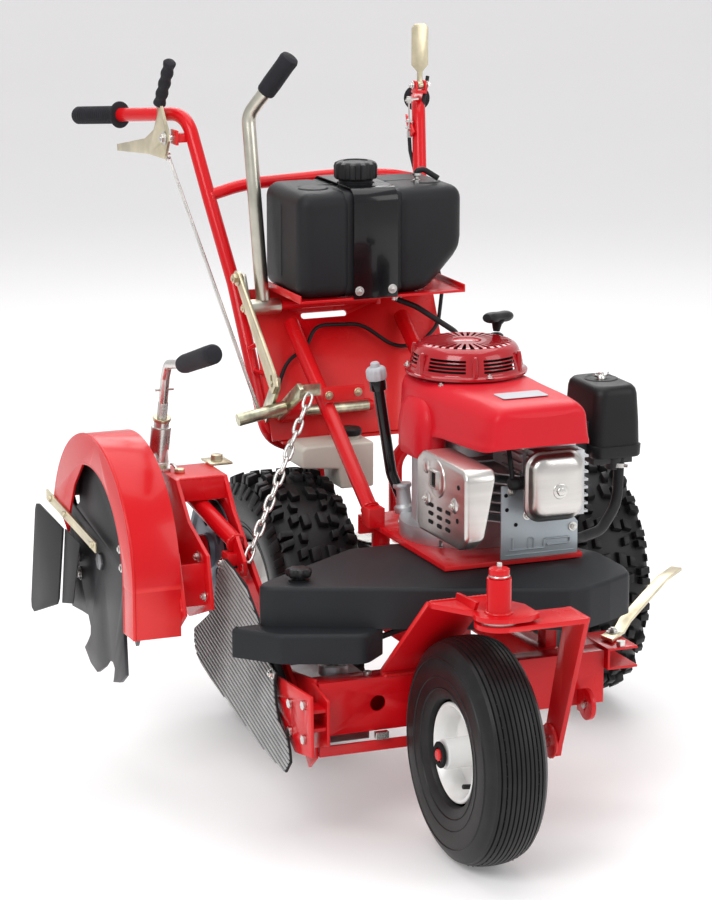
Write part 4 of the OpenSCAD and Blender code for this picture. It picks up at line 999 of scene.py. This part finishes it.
def engine_front():
    # muffler guard
    x0, x1, y0, y1, z0, z1 = box_mm("muffler")
    bm = bmesh.new()
    prism_bm(bm, [(y0 + 2, z0 + 26), (y0 + 30, z0 + 4), (y1 - 10, z0 + 2), (y1, z0 + 12), (y1, z1 - 14),
                  (y1 - 22, z1),
                  (y0 + 14, z1), (y0 + 2, z1 - 12)], x0 + 1, x1 - 1, "yz")
    for v in bm.verts:
        if v.co.x > (x0 + 4) * MM:
            v.co.x = (-76 - 24 * (590 - v.co.z / MM) / 127) * MM
    finish_mesh("muffler_guard", bm, STEEL, "frame", ("muffler",), 50, 9, 5, 25)
    bm = bmesh.new()
    yc, zc = -562, 566
    lathe_bm(bm, [(0, 0), (31, 0), (30, 1.8), (24, 3.4), (0, 3.6)], (x0 + 1.2, yc, zc), (-1, 0, 0), 40)
    finish_mesh("muffler_boss", bm, STEEL, "frame", (), 40)
    bm = bmesh.new()
    corners = ((-1, -1), (1, -1), (1, 1), (-1, 1))
    o, i = [[(yc + w * a, zc + w * b) for a, b in corners] for w in (15, 12)]
    xs = (x0 - 8, x0 + 8)
    vo = [[bm.verts.new(Vector((x, p[0], p[1])) * MM) for p in o] for x in xs]
    vi = [[bm.verts.new(Vector((x, p[0], p[1])) * MM) for p in i] for x in xs]
    for k in range(4):
        k2 = (k + 1) % 4
        bm.faces.new((vo[0][k], vo[0][k2], vo[1][k2], vo[1][k]))
        bm.faces.new((vi[0][k], vi[0][k2], vi[1][k2], vi[1][k]))
        bm.faces.new((vo[0][k], vo[0][k2], vi[0][k2], vi[0][k]))
    bm.faces.new(vi[1])
    finish_mesh("muffler_outlet", bm, STEEL, "frame", (), 30, 0.8, 2)
    # the inside of the outlet, the slots and the round holes are near-black prisms of painted shade
    bm = bmesh.new()
    prism_bm(bm, i, x0 - 3.2, x0 + 2, "yz")
    for r in range(3):
        for c in range(3):
            zz = z0 + 24 + r * 14 + (2 if c == 0 else 0)
            yy = y0 + 62 + c * 34
            prism_bm(bm, round_rect(yy, zz, yy + 17, zz + 6, 2.4, 3), x0 - 0.1, x0 + 2, "yz")
    for p in ((y0 + 30, z1 - 30), (y1 - 34, z1 - 26), (y0 + 34, z0 + 52)):
        prism_bm(bm, round_rect(p[0] - 4, p[1] - 4, p[0] + 4, p[1] + 4, 3.9, 4), x0 - 0.1, x0 + 2, "yz")
    finish_mesh("muffler_slot_shade", bm, PAINTED_SHADE, "frame", (), 30)
    bm = bmesh.new()
    for p in ((y0 + 46, z0 + 74), (y1 - 44, z0 + 62), (y1 - 40, z1 - 22)):
        lathe_bm(bm, [(0, 0), (13, 0), (11, 2.2), (7, 3.4), (0, 3.6)], (x0 + 1.2, p[0], p[1]), (-1, 0, 0), 24)
    finish_mesh("muffler_dimples", bm, STEEL, "frame", (), 60)
    bolts("muffler_bolts", [((x0 - 2.2, y0 + 46, z0 + 74), (-1, 0, 0)),
                            ((x0 - 2.2, y1 - 44, z0 + 62), (-1, 0, 0))], ZINC,
          "frame", 4.6, 3.2)
    # rocker cover: rolled flange, raised dome, sunk bolt
    y = -592
    spec = [(0, 0, 28, 0), (0, 0, 28, -4), (1.2, 1.2, 27, -5.4), (4.5, 4.5, 25, -6), (5.5, 5.5, 24, -8),
            (7, 7, 23, -14),
            (9.5, 9.5, 22, -18.5), (14, 14, 20, -21.5), (20, 20, 17, -23.2), (28, 28, 13, -24.2),
            (38, 38, 8, -24.8)]
    bm = bmesh.new()
    stack_bm(bm, [[(a, y + dy, b) for a, b in round_rect(9 + dx, 487 + dz, 112 - dx, 603 - dz, max(4, r), 8)]
                  for dx, dz, r, dy in spec])
    finish_mesh("head_cover_pressed", bm, STEEL, "frame", ("head_cover",), 60)
    bm = bmesh.new()
    lathe_bm(bm, [(0, 0), (13, 0), (12.4, 1.2), (10.8, 1.6), (0, 1.6)], (62, y - 24.2, 540), (0, -1, 0), 32)
    lathe_bm(bm, [(0, 0), (7.5, 0), (7.5, 3.2), (6.6, 4.2), (0, 4.2)], (62, y - 25.6, 540), (0, -1, 0), 6)
    finish_mesh("head_cover_bolt", bm, ZINC, "frame", (), 30, 0.3, 1)
    # front baffle plate with embossed ribs and holes
    bm = bmesh.new()
    outline = [(-12, 417), (125, 417), (125, 470), (118, 478), (96, 482), (80, 500), (8, 540), (-12, 540)]
    prism_bm(bm, outline, -552, -548.6, "xz")
    finish_mesh("front_baffle", bm, PLATE, "frame", (), 30, 0.9, 2)
    bm = bmesh.new()
    for pts, r in (([(2, 432), (64, 432)], 3.4), ([(8, 432), (8, 452)], 3.4),
                   ([(36, 432), (36, 450), (46, 450), (46, 432)], 3.4),
                   ([(64, 432), (64, 446), (110, 446), (110, 436), (70, 436)], 3.4),
                   ([(-4, 424), (118, 424)], 1.6)):
        sweep_bm(bm, fillet([(a, -551.6, b) for a, b in pts], 4, 4), r * MM, 10, flat=0.55)
    finish_mesh("front_baffle_ribs", bm, PLATE, "frame", (), 60)
    bolts("front_baffle_bolts", [((x, -552, z), (0, -1, 0)) for x,
                                 z in ((34, 488), (116, 462), (6, 530), (28, 600))],
          ZINC, "frame", 5.2, 4)
    # the holes are near-black discs of painted shade
    bm = bmesh.new()
    for p in ((-2, 500), (-4, 524), (14, 474)):
        lathe_bm(bm, [(0, 0), (3.4, 0), (3.4, 0.5), (0, 0.5)], (p[0], -552.1, p[1]), (0, -1, 0), 16)
    finish_mesh("front_baffle_hole_shade", bm, PAINTED_SHADE, "frame")
    # carburettor bowl, studs and link
    bm = bmesh.new()
    lathe_bm(bm, [(0, 0), (20, 0), (22, 3), (22, 14), (19, 20), (0, 21)], (122, -400, 479), (0, 0, 1), 36)
    finish_mesh("carburettor_bowl", bm, BLUE, "frame", (), 35)
    bm = bmesh.new()
    rod_bm(bm, (128, -440, 533), (128, -350, 533), 2.6)
    rod_bm(bm, (116, -440, 512), (122, -380, 520), 2.0)
    lathe_bm(bm, [(0, 0), (9, 0), (9, 5), (4, 6), (4, 12), (0, 12)], (128, -430, 533), (0, -1, 0), 20)
    sweep_bm(bm, fillet([(133, -432, 530), (140, -440, 512), (138, -442, 486)], 8, 6), 4.4 * MM, 14)
    finish_mesh("carburettor_links", bm, ALU, "frame", (), 40)
    # cylinder side fins on the left flank
    bm = bmesh.new()
    for z in range(6):
        prism_bm(bm, [(-40, -470), (24, -545), (30, -545), (30, -430), (-40, -410)], 470 + z * 16,
                 473 + z * 16)
    finish_mesh("cylinder_fins", bm, ALU, "frame", (), 30, 0.9, 2)
    # crankcase ribs and oil drain on the visible flank
    bm = bmesh.new()
    for a in range(-80, 260, 20):
        q = math.radians(a)
        p = (15 + 86 * math.cos(q), -349 + 86 * math.sin(q), 441)
        rod_bm(bm, p, (p[0], p[1], 550), 3.4, 10)
    finish_mesh("crankcase_ribs", bm, ALU, "frame", (), 50)
    bm = bmesh.new()
    lathe_bm(bm, [(0, -4), (17, -4), (17, 6), (13, 10), (13, 36), (16, 40), (16, 46), (0, 46)],
             (-60, -268, 440),
             (-0.08, 0.1, 1), 28)
    finish_mesh("oil_filler_boss", bm, ALU, "frame", (), 35, 0.8, 2)
    bolts("crankcase_bolts", [((-76, -300, 428), (-1, 0.2, 0)), ((-80, -380, 430), (-1, -0.2, 0)),
                              ((-62, -430, 452), (-0.7, -0.7, 0))], ZINC, "frame", 7, 6)


engine_front()


def air_box():
    _, x1, y0, y1, z0, _ = box_mm("air_cleaner")
    x0, z1 = 204, 662
    layers = ((3, 14, z0), (1, 15, z0 + 3), (0, 16, z0 + 20), (2.5, 16, z0 + 21.5), (3, 18, z0 + 60),
              (5, 20, z1 - 16), (7, 20, z1 - 7), (12, 18, z1 - 1.6), (18, 16, z1))
    bm = bmesh.new()
    stack_bm(bm, [[(a, b, z) for a, b in round_rect(x0 + inset, y0 + inset, x1 - inset, y1 - inset, r, 7)]
                  for inset, r, z in layers])
    finish_mesh("air_cleaner_cover", bm, BLACK_PLASTIC, "frame", ("air_cleaner",), 40)
    c = (250, -376, z1)
    lathe("air_cleaner_recess", [(0, 0.2), (25, 0.2), (27, 1.4), (28.5, 0.6), (29, -1), (0, -1)], c,
          (0, 0, 1),
          BLACK_PLASTIC, "frame", 40)
    bm = bmesh.new()
    lathe_bm(bm, [(0, 0), (8, 0), (7, 5), (4.2, 6), (4.2, 11), (0, 11)], c, (0, 0, 1), 24)
    for s in (-1, 1):
        rod_bm(bm, (c[0] + s * 4, c[1], c[2] + 3), (c[0] + s * 15, c[1] + s * 4, c[2] + 8.5), 2.8, 10)
    finish_mesh("air_cleaner_wing_nut", bm, ZINC, "frame", (), 40, 0.4, 1)
    bm = bmesh.new()
    lathe_bm(bm, [(0, 0), (16, 0), (16, 26), (0, 26)], (256, -420, z0 - 24), (0, 0, 1), 28)
    box_bm(bm, (212, -430, z0 - 14), (284, -330, z0 + 2))
    box_bm(bm, (138, -420, 543), (212, -360, 600))
    finish_mesh("air_cleaner_base", bm, IRON, "frame", (), 35, 1.2, 2)


air_box()


def oil_tube():
    tube("oil_filler_tube", [(-105, -250, 676), (-77, -250, 500), (-60, -272, 446)], 9.4, GLOSS_BLACK,
         "frame", 40, 24,
         ("oil_filler",))
    v = Vector((-28, 0, 176)).normalized()
    p = Vector((-105, -250, 676))
    lathe("oil_filler_collar", [(9.5, 0), (14, 0), (14.4, 14), (13, 17), (9.5, 17)], p - v * 30, v,
          GLOSS_BLACK, "frame", 32,
          True)
    lobed("dipstick_cap_moulded", [(9.6, -12, 0), (15.5, -12, 0.3), (16.4, -8, 1), (16.4, 4, 1),
                                   (14.6, 8, 0.6),
                                   (12, 9.5, 0), (8, 10, 0), (7.5, 16, 0), (5.5, 18, 0)], p, v,
          lambda a: 0.8 * math.cos(10 * a), 60, GREY, "dipstick_body", ("dipstick_cap",))


oil_tube()


# ---------------------------------------------------------------- covers, flap, reservoir

def folded_cover(name, corners, z0, z1, rad, replaces=()):
    """a sheet cover with rounded corners and a rolled top edge, open below"""
    out = []
    n = len(corners)
    for i in range(n):
        a, b, c = [Vector(corners[(i + d) % n] + (0,)) for d in (-1, 0, 1)]
        u, v = (a - b).normalized(), (c - b).normalized()
        d = min(rad / math.tan(u.angle(v) / 2), (a - b).length * 0.42, (c - b).length * 0.42)
        out += [b + u * d * (1 - k / 6) ** 2 + v * d * (k / 6) ** 2 for k in range(7)]
    centre = sum(out, Vector()) / len(out)
    inward = []
    for i, p in enumerate(out):
        t = (out[(i + 1) % len(out)] - out[i - 1]).normalized()
        q = Vector((-t.y, t.x, 0))
        inward.append(q if q.dot(centre - p) >= 0 else -q)
    edge = 7.0
    levels = [(0, z0)] + [(edge - x, z) for x, z in arc(0, z1 - edge, edge, 0, 90, 5)]
    bm = bmesh.new()
    rings = [[bm.verts.new((p + q * inset + Vector((0, 0, z))) * MM) for p, q in zip(out, inward)]
             for inset, z in levels]
    skin(bm, rings)
    bmesh.ops.triangulate(bm, faces=[bm.faces.new(rings[-1])])
    finish_sheet(name, bm, BLACK_SHEET, "frame", replaces, 50, 2.6)


def belt_cover():
    upper = [(-431, -502), (40, -702), (72, -704), (122, -680), (174, -648), (184, -608), (184, -512),
             (100, -330),
             (-191, -338)]
    lobe = [(-455, -495), (-397, -563), (-271, -613), (-222, -567), (-222, -470), (-345, -470), (-345, -485),
            (-448, -487)]
    folded_cover("belt_cover_upper", upper, 335, 403, 30, ("belt_cover",))
    folded_cover("belt_cover_lobe", lobe, 289, 337, 26)
    lathe("cover_knob_seat", [(0, 0), (17, 0), (17, 2.5), (11, 4), (10, 6), (0, 6)], (-339, -494, 402.8),
          (0, 0, 1),
          BLACK_PLASTIC, "frame", 32)
    lobed("cover_knob_lobed", [(13, 6.4, 0.2), (18, 8, 1), (20, 11, 1), (20, 17, 1), (17, 20.5, 0.8),
                               (11, 21.8, 0.2),
                               (5, 22, 0)], (-339, -494, 402.6), (0, 0, 1), lambda a: 1.9 * math.cos(7 * a),
                               84,
          BLACK_PLASTIC, "cover_knob_body", ("cover_knob",))


belt_cover()


def flap():
    """the belting sheet, with ribs along its lower edge on the outer face; the rib crests are painted light
    grey as a painted highlight
    """
    lo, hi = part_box("side_flap")
    bm = node_bm("side_flap")
    tree = BVHTree.FromBMesh(bm)
    finish_mesh("side_flap_sheet", bm, FLAP, "arm", ("side_flap",), 30, 0.8, 2)
    along = Vector((0, -0.96, -0.28)).normalized()
    across = Vector((0, -along.z, along.y))
    centre = (lo + hi) / 2
    reach, cast = 0.42, 0.001
    pitch, root, crest = 0.0090, 0.0030, 0.0022

    def spans(offset):
        """stretches of a line beside the centre that lie on the sheet"""
        found, run = [], []
        for k in range(int(2 * reach / cast)):
            p = centre + across * offset + along * (k * cast - reach)
            if tree.ray_cast(Vector((lo.x - 0.05, p.y, p.z)), Vector((1, 0, 0)), 0.1)[0] is not None:
                run.append(p)
            elif run:
                found.append(run)
                run = []
        return [(r[2], r[-3]) for r in found if len(r) > 14]

    bm = bmesh.new()
    for k in range(-int(reach / pitch), int(reach / pitch) + 1):
        for (a0, b0), (a1, b1) in zip(spans(k * pitch - root), spans(k * pitch + root)):
            corners = []
            for x, inset in ((lo.x + 0.0006, 0.0), (lo.x - 0.0016, root - crest)):
                for e, side in ((a0, 1), (b0, 1), (b1, -1), (a1, -1)):
                    corners.append(Vector((x, e.y, e.z)) + across * (side * inset))
            hexa_bm(bm, corners)
    # the ribs carry the light grey of a painted highlight
    finish_mesh("side_flap_ribs", bm, RIB_HIGHLIGHT, "arm", (), 25)
    face_x = lo.x / MM - 0.3
    bolts("side_flap_bolts", [((face_x, y, z), (-1, 0, 0)) for y, z in ((-290, 386), (-520, 262))], ZINC,
          "arm")


flap()


def reservoir():
    bm = bmesh.new()
    outline = [(-156, 468), (-88, 462), (-84, 426), (-22, 426), (-22, 506), (-150, 506), (-156, 500)]
    prism_bm(bm, outline, -42, 36, "xz")
    finish_mesh("reservoir_bottle", bm, MILK, "frame", ("reservoir",), 50, 7, 4, 25)
    filler = (-52, -2, 505)
    lathe("reservoir_neck", [(0, 0), (17, 0), (17, 10), (0, 10)], filler, (0, 0, 1), MILK, "frame", 32)
    lathe("reservoir_cap", [(0, 8), (20, 8), (21, 10), (21, 18), (19, 20), (0, 20)], filler, (0, 0, 1),
          BLACK_PLASTIC, "frame", 32)


reservoir()


# ---------------------------------------------------------------- edging head dressing

def head_dressing():
    y, z = HEAD_Y, HEAD_Z

    def round_guard(x, r, start):
        """a path that follows the guard from its open side to its rear foot"""
        return [Vector((x, a, b)) * MM for a, b in arc(y, z, r, start, 180, 60) + [(y - r, z - 78)]]

    # rolled edge and weld line between the guard's face and band
    bm = bmesh.new()
    outer = round_guard(-573, 213, 18)
    sweep_bm(bm, outer, [(3.0 + (0.25 if i % 2 else 0)) * MM for i in range(len(outer))], 10)
    sweep_bm(bm, round_guard(-574, 165, 64), 2.4 * MM, 10)
    finish_mesh("blade_guard_edges", bm, RED, "arm", (), 60)
    # painted shade inside the guard: near-black sheets along the band and across the back
    bm = bmesh.new()
    skin(bm, [[bm.verts.new(Vector((x, a, b)) * MM) for a, b in arc(y, z, 209, 19, 178, 48)] for x in (-571.5,
                                                                                                       -500)],
         False)
    finish_sheet("blade_guard_inside_shade", bm, PAINTED_SHADE, "arm", (), 0, 0.8)
    bm = bmesh.new()
    prism_bm(bm, arc(y, z, 203, 21, 176, 31) + [(y - 203, z - 74), (y - 150, z - 74), (y - 60, z - 30),
                                                (y + 60, z + 10)], -500.6, -499.4, "yz")
    finish_mesh("blade_guard_back_shade", bm, PAINTED_SHADE, "arm", (), 30)
    # bolts on the blade's hub plate
    bm = bmesh.new()
    for q in [math.radians(a) for a in (157, 171, 337, 351)]:
        bolt_bm(bm, (-559.2, y + 126 * math.cos(q), z + 126 * math.sin(q)), (-1, 0, 0), 8, 6)
    finish_mesh("blade_bolt_heads", bm, ZINC, "blade_body", (), 30, 0.4, 1)
    # small bolts on plates
    spots = ((-440.5, -330, 345), (-440.5, -300, 405), (-494.4, -330, 350), (-494.4, -250, 430),
             (-494.4, -250, 300))
    bolts("arm_plate_bolts", [(p, (-1, 0, 0)) for p in spots], ZINC, "arm", 6, 5)
    bm = bmesh.new()
    seam_bm(bm, (-434, -190, 508), (-356, -190, 508))
    seam_bm(bm, (-494, -372, 335), (-494, -343, 420))
    bead_bm(bm, (-372, -290, 419), (0.17, -0.93, -0.32), 14.3)
    finish_mesh("arm_welds", bm, RED, "arm")
    # jack dressing: collars, hitch pin
    u, p0 = JACK_UP, JACK_FOOT
    bm = bmesh.new()
    lathe_bm(bm, [(8.2, 92), (15, 92), (15.6, 95), (15, 98), (8.2, 98)], p0, u, 32, True)
    lathe_bm(bm, [(17.1, 8), (20, 8), (20, 16), (17.1, 16)], p0, u, 32, True)
    finish_mesh("depth_jack_collars", bm, YZINC, "arm", (), 35, 0.4, 1)
    bm = bmesh.new()
    sweep_bm(bm, fillet([(-462, -120, 520), (-420, -120, 520), (-412, -134, 505), (-412, -160, 470)], 8, 6),
             3 * MM, 12)
    finish_mesh("depth_jack_hitch_pin", bm, ZINC, "arm", (), 50)
    # weld on the deflector strip
    bm = bmesh.new()
    seam_bm(bm, (-577, 20, 424), (-577, 50, 440), 1.6)
    finish_mesh("deflector_weld", bm, RED, "arm")


head_dressing()


def frame_dressing():
    bm = bmesh.new()
    bead_bm(bm, (-110, -236, 440), (0, 0.82, 0.57), 14.2)
    bead_bm(bm, (100, -236, 440), (0, 0.82, 0.57), 14.2)
    bead_bm(bm, (*KINGPIN, 426), (0, 0, 1), 19.6)
    seam_bm(bm, (-229, -762, 425.5), (-130, -762, 425.5), 1.8)
    seam_bm(bm, (-230, -585, 257), (-132, -585, 257))
    seam_bm(bm, (-341, -585.5, 250), (-341, -585.5, 172), 2.0)
    finish_mesh("frame_welds", bm, RED, "frame")
    bm = bmesh.new()
    bead_bm(bm, (-27, -774, 181), (1, 0, 0), 26)
    seam_bm(bm, (-20, -888, 403), (-20, -824, 403), 2.0)
    finish_mesh("caster_fork_welds", bm, RED, "caster")
    # perforated strap bolts, and the kingpin's snap ring and top
    bolts("strap_bolts", [((-112, -56.4, 598), (0, -1, 0)), ((-58, -56.4, 600), (0, -1, 0))], YZINC, "frame",
          5, 4)
    bm = bmesh.new()
    lathe_bm(bm, [(13, 0), (16.2, 0), (16.8, 1.5), (16.2, 3), (13, 3)], (*KINGPIN, 482), (0, 0, 1), 36, True)
    finish_mesh("kingpin_snap_ring", bm, ZINC, "caster", (), 40)
    lathe("kingpin_top", [(0, 0), (14.4, 0), (15, 1.5), (15, 9), (13.4, 11.6), (0, 12)], (*KINGPIN, 484),
          (0, 0, 1), RED,
          "caster", 36)


frame_dressing()


def pedal_pivot():
    bm = bmesh.new()
    lathe_bm(bm, [(0, 0), (8, 0), (8, 1.8), (0, 1.8)], (198, -540, 262.2), (0, 0, 1), 24)
    finish_mesh("pedal_pivot_spacer", bm, ZINC, "frame", (), 35)
    bm = bmesh.new()
    bolt_bm(bm, (198, -540, 270.8), (0, 0, 1), 7.5, 5)
    finish_mesh("pedal_pivot_bolt", bm, ZINC, "pedal_body", (), 30)


pedal_pivot()


# ---------------------------------------------------------------- stage, light, camera

FLOOR = material("pale_floor", (0.84, 0.83, 0.825), 0.6, 0.0, 0.01, 1.0, 0.0, 10, rough_var=0.04)
for node in FLOOR.node_tree.nodes:
    if node.type == "BSDF_PRINCIPLED":
        node.inputs["Emission Color"].default_value = (1.0, 0.99, 0.985, 1)
        node.inputs["Emission Strength"].default_value = 0.16
# flat floor that sweeps up into a wall behind the machine, in metres
SWEEP_Y, SWEEP_R = 9.0, 3.0
profile = [(-14, 0)] + arc(SWEEP_Y, SWEEP_R, SWEEP_R, -90, 0, 12) + [(SWEEP_Y + SWEEP_R, 14.0)]
floor_bm = bmesh.new()
skin(floor_bm, [[floor_bm.verts.new((i * 0.35, y, z)) for y, z in profile] for i in range(-40, 41)], False)
floor = new_object("studio_floor", floor_bm, FLOOR)
floor.rotation_euler = (0, 0, math.radians(-22.2))
shade(floor, 180)

world = bpy.context.scene.world or bpy.data.worlds.new("studio")
bpy.context.scene.world = world
world.use_nodes = True
sky = world.node_tree.nodes["Background"].inputs
sky["Color"].default_value = (0.97, 0.97, 1.0, 1)
sky["Strength"].default_value = 0.66


def area(name, loc, target, size, energy):
    light = bpy.data.lights.new(name, "AREA")
    light.shape = "RECTANGLE"
    light.size, light.size_y = size
    light.energy = energy
    ob = bpy.data.objects.new(name, light)
    ob.location = loc
    ob.rotation_euler = (Vector(target) - Vector(loc)).to_track_quat("-Z", "Y").to_euler()
    bpy.context.scene.collection.objects.link(ob)


area("key", (-3.0, -2.6, 3.4), (0, -0.2, 0.5), (2.2, 2.2), 92)
area("fill", (2.6, -3.4, 2.4), (0, -0.3, 0.5), (2.4, 2.4), 44)
area("top", (0.2, 0.2, 3.6), (0, -0.2, 0.5), (3.0, 3.0), 58)
area("back", (1.2, 3.0, 3.0), (0, 0.0, 0.6), (3.0, 1.6), 50)

cam = bpy.data.cameras.new("camera")
cam.sensor_width = 36
cam.lens = 138.37
cam.clip_end = 100
camera = bpy.data.objects.new("camera", cam)
camera.location = (-2.2692, -5.4596, 1.8651)
camera.rotation_euler = (math.radians(90 - 13.19), 0, math.radians(-22.22))
bpy.context.scene.collection.objects.link(camera)
bpy.context.scene.camera = camera
bpy.context.scene.view_settings.view_transform = "Standard"
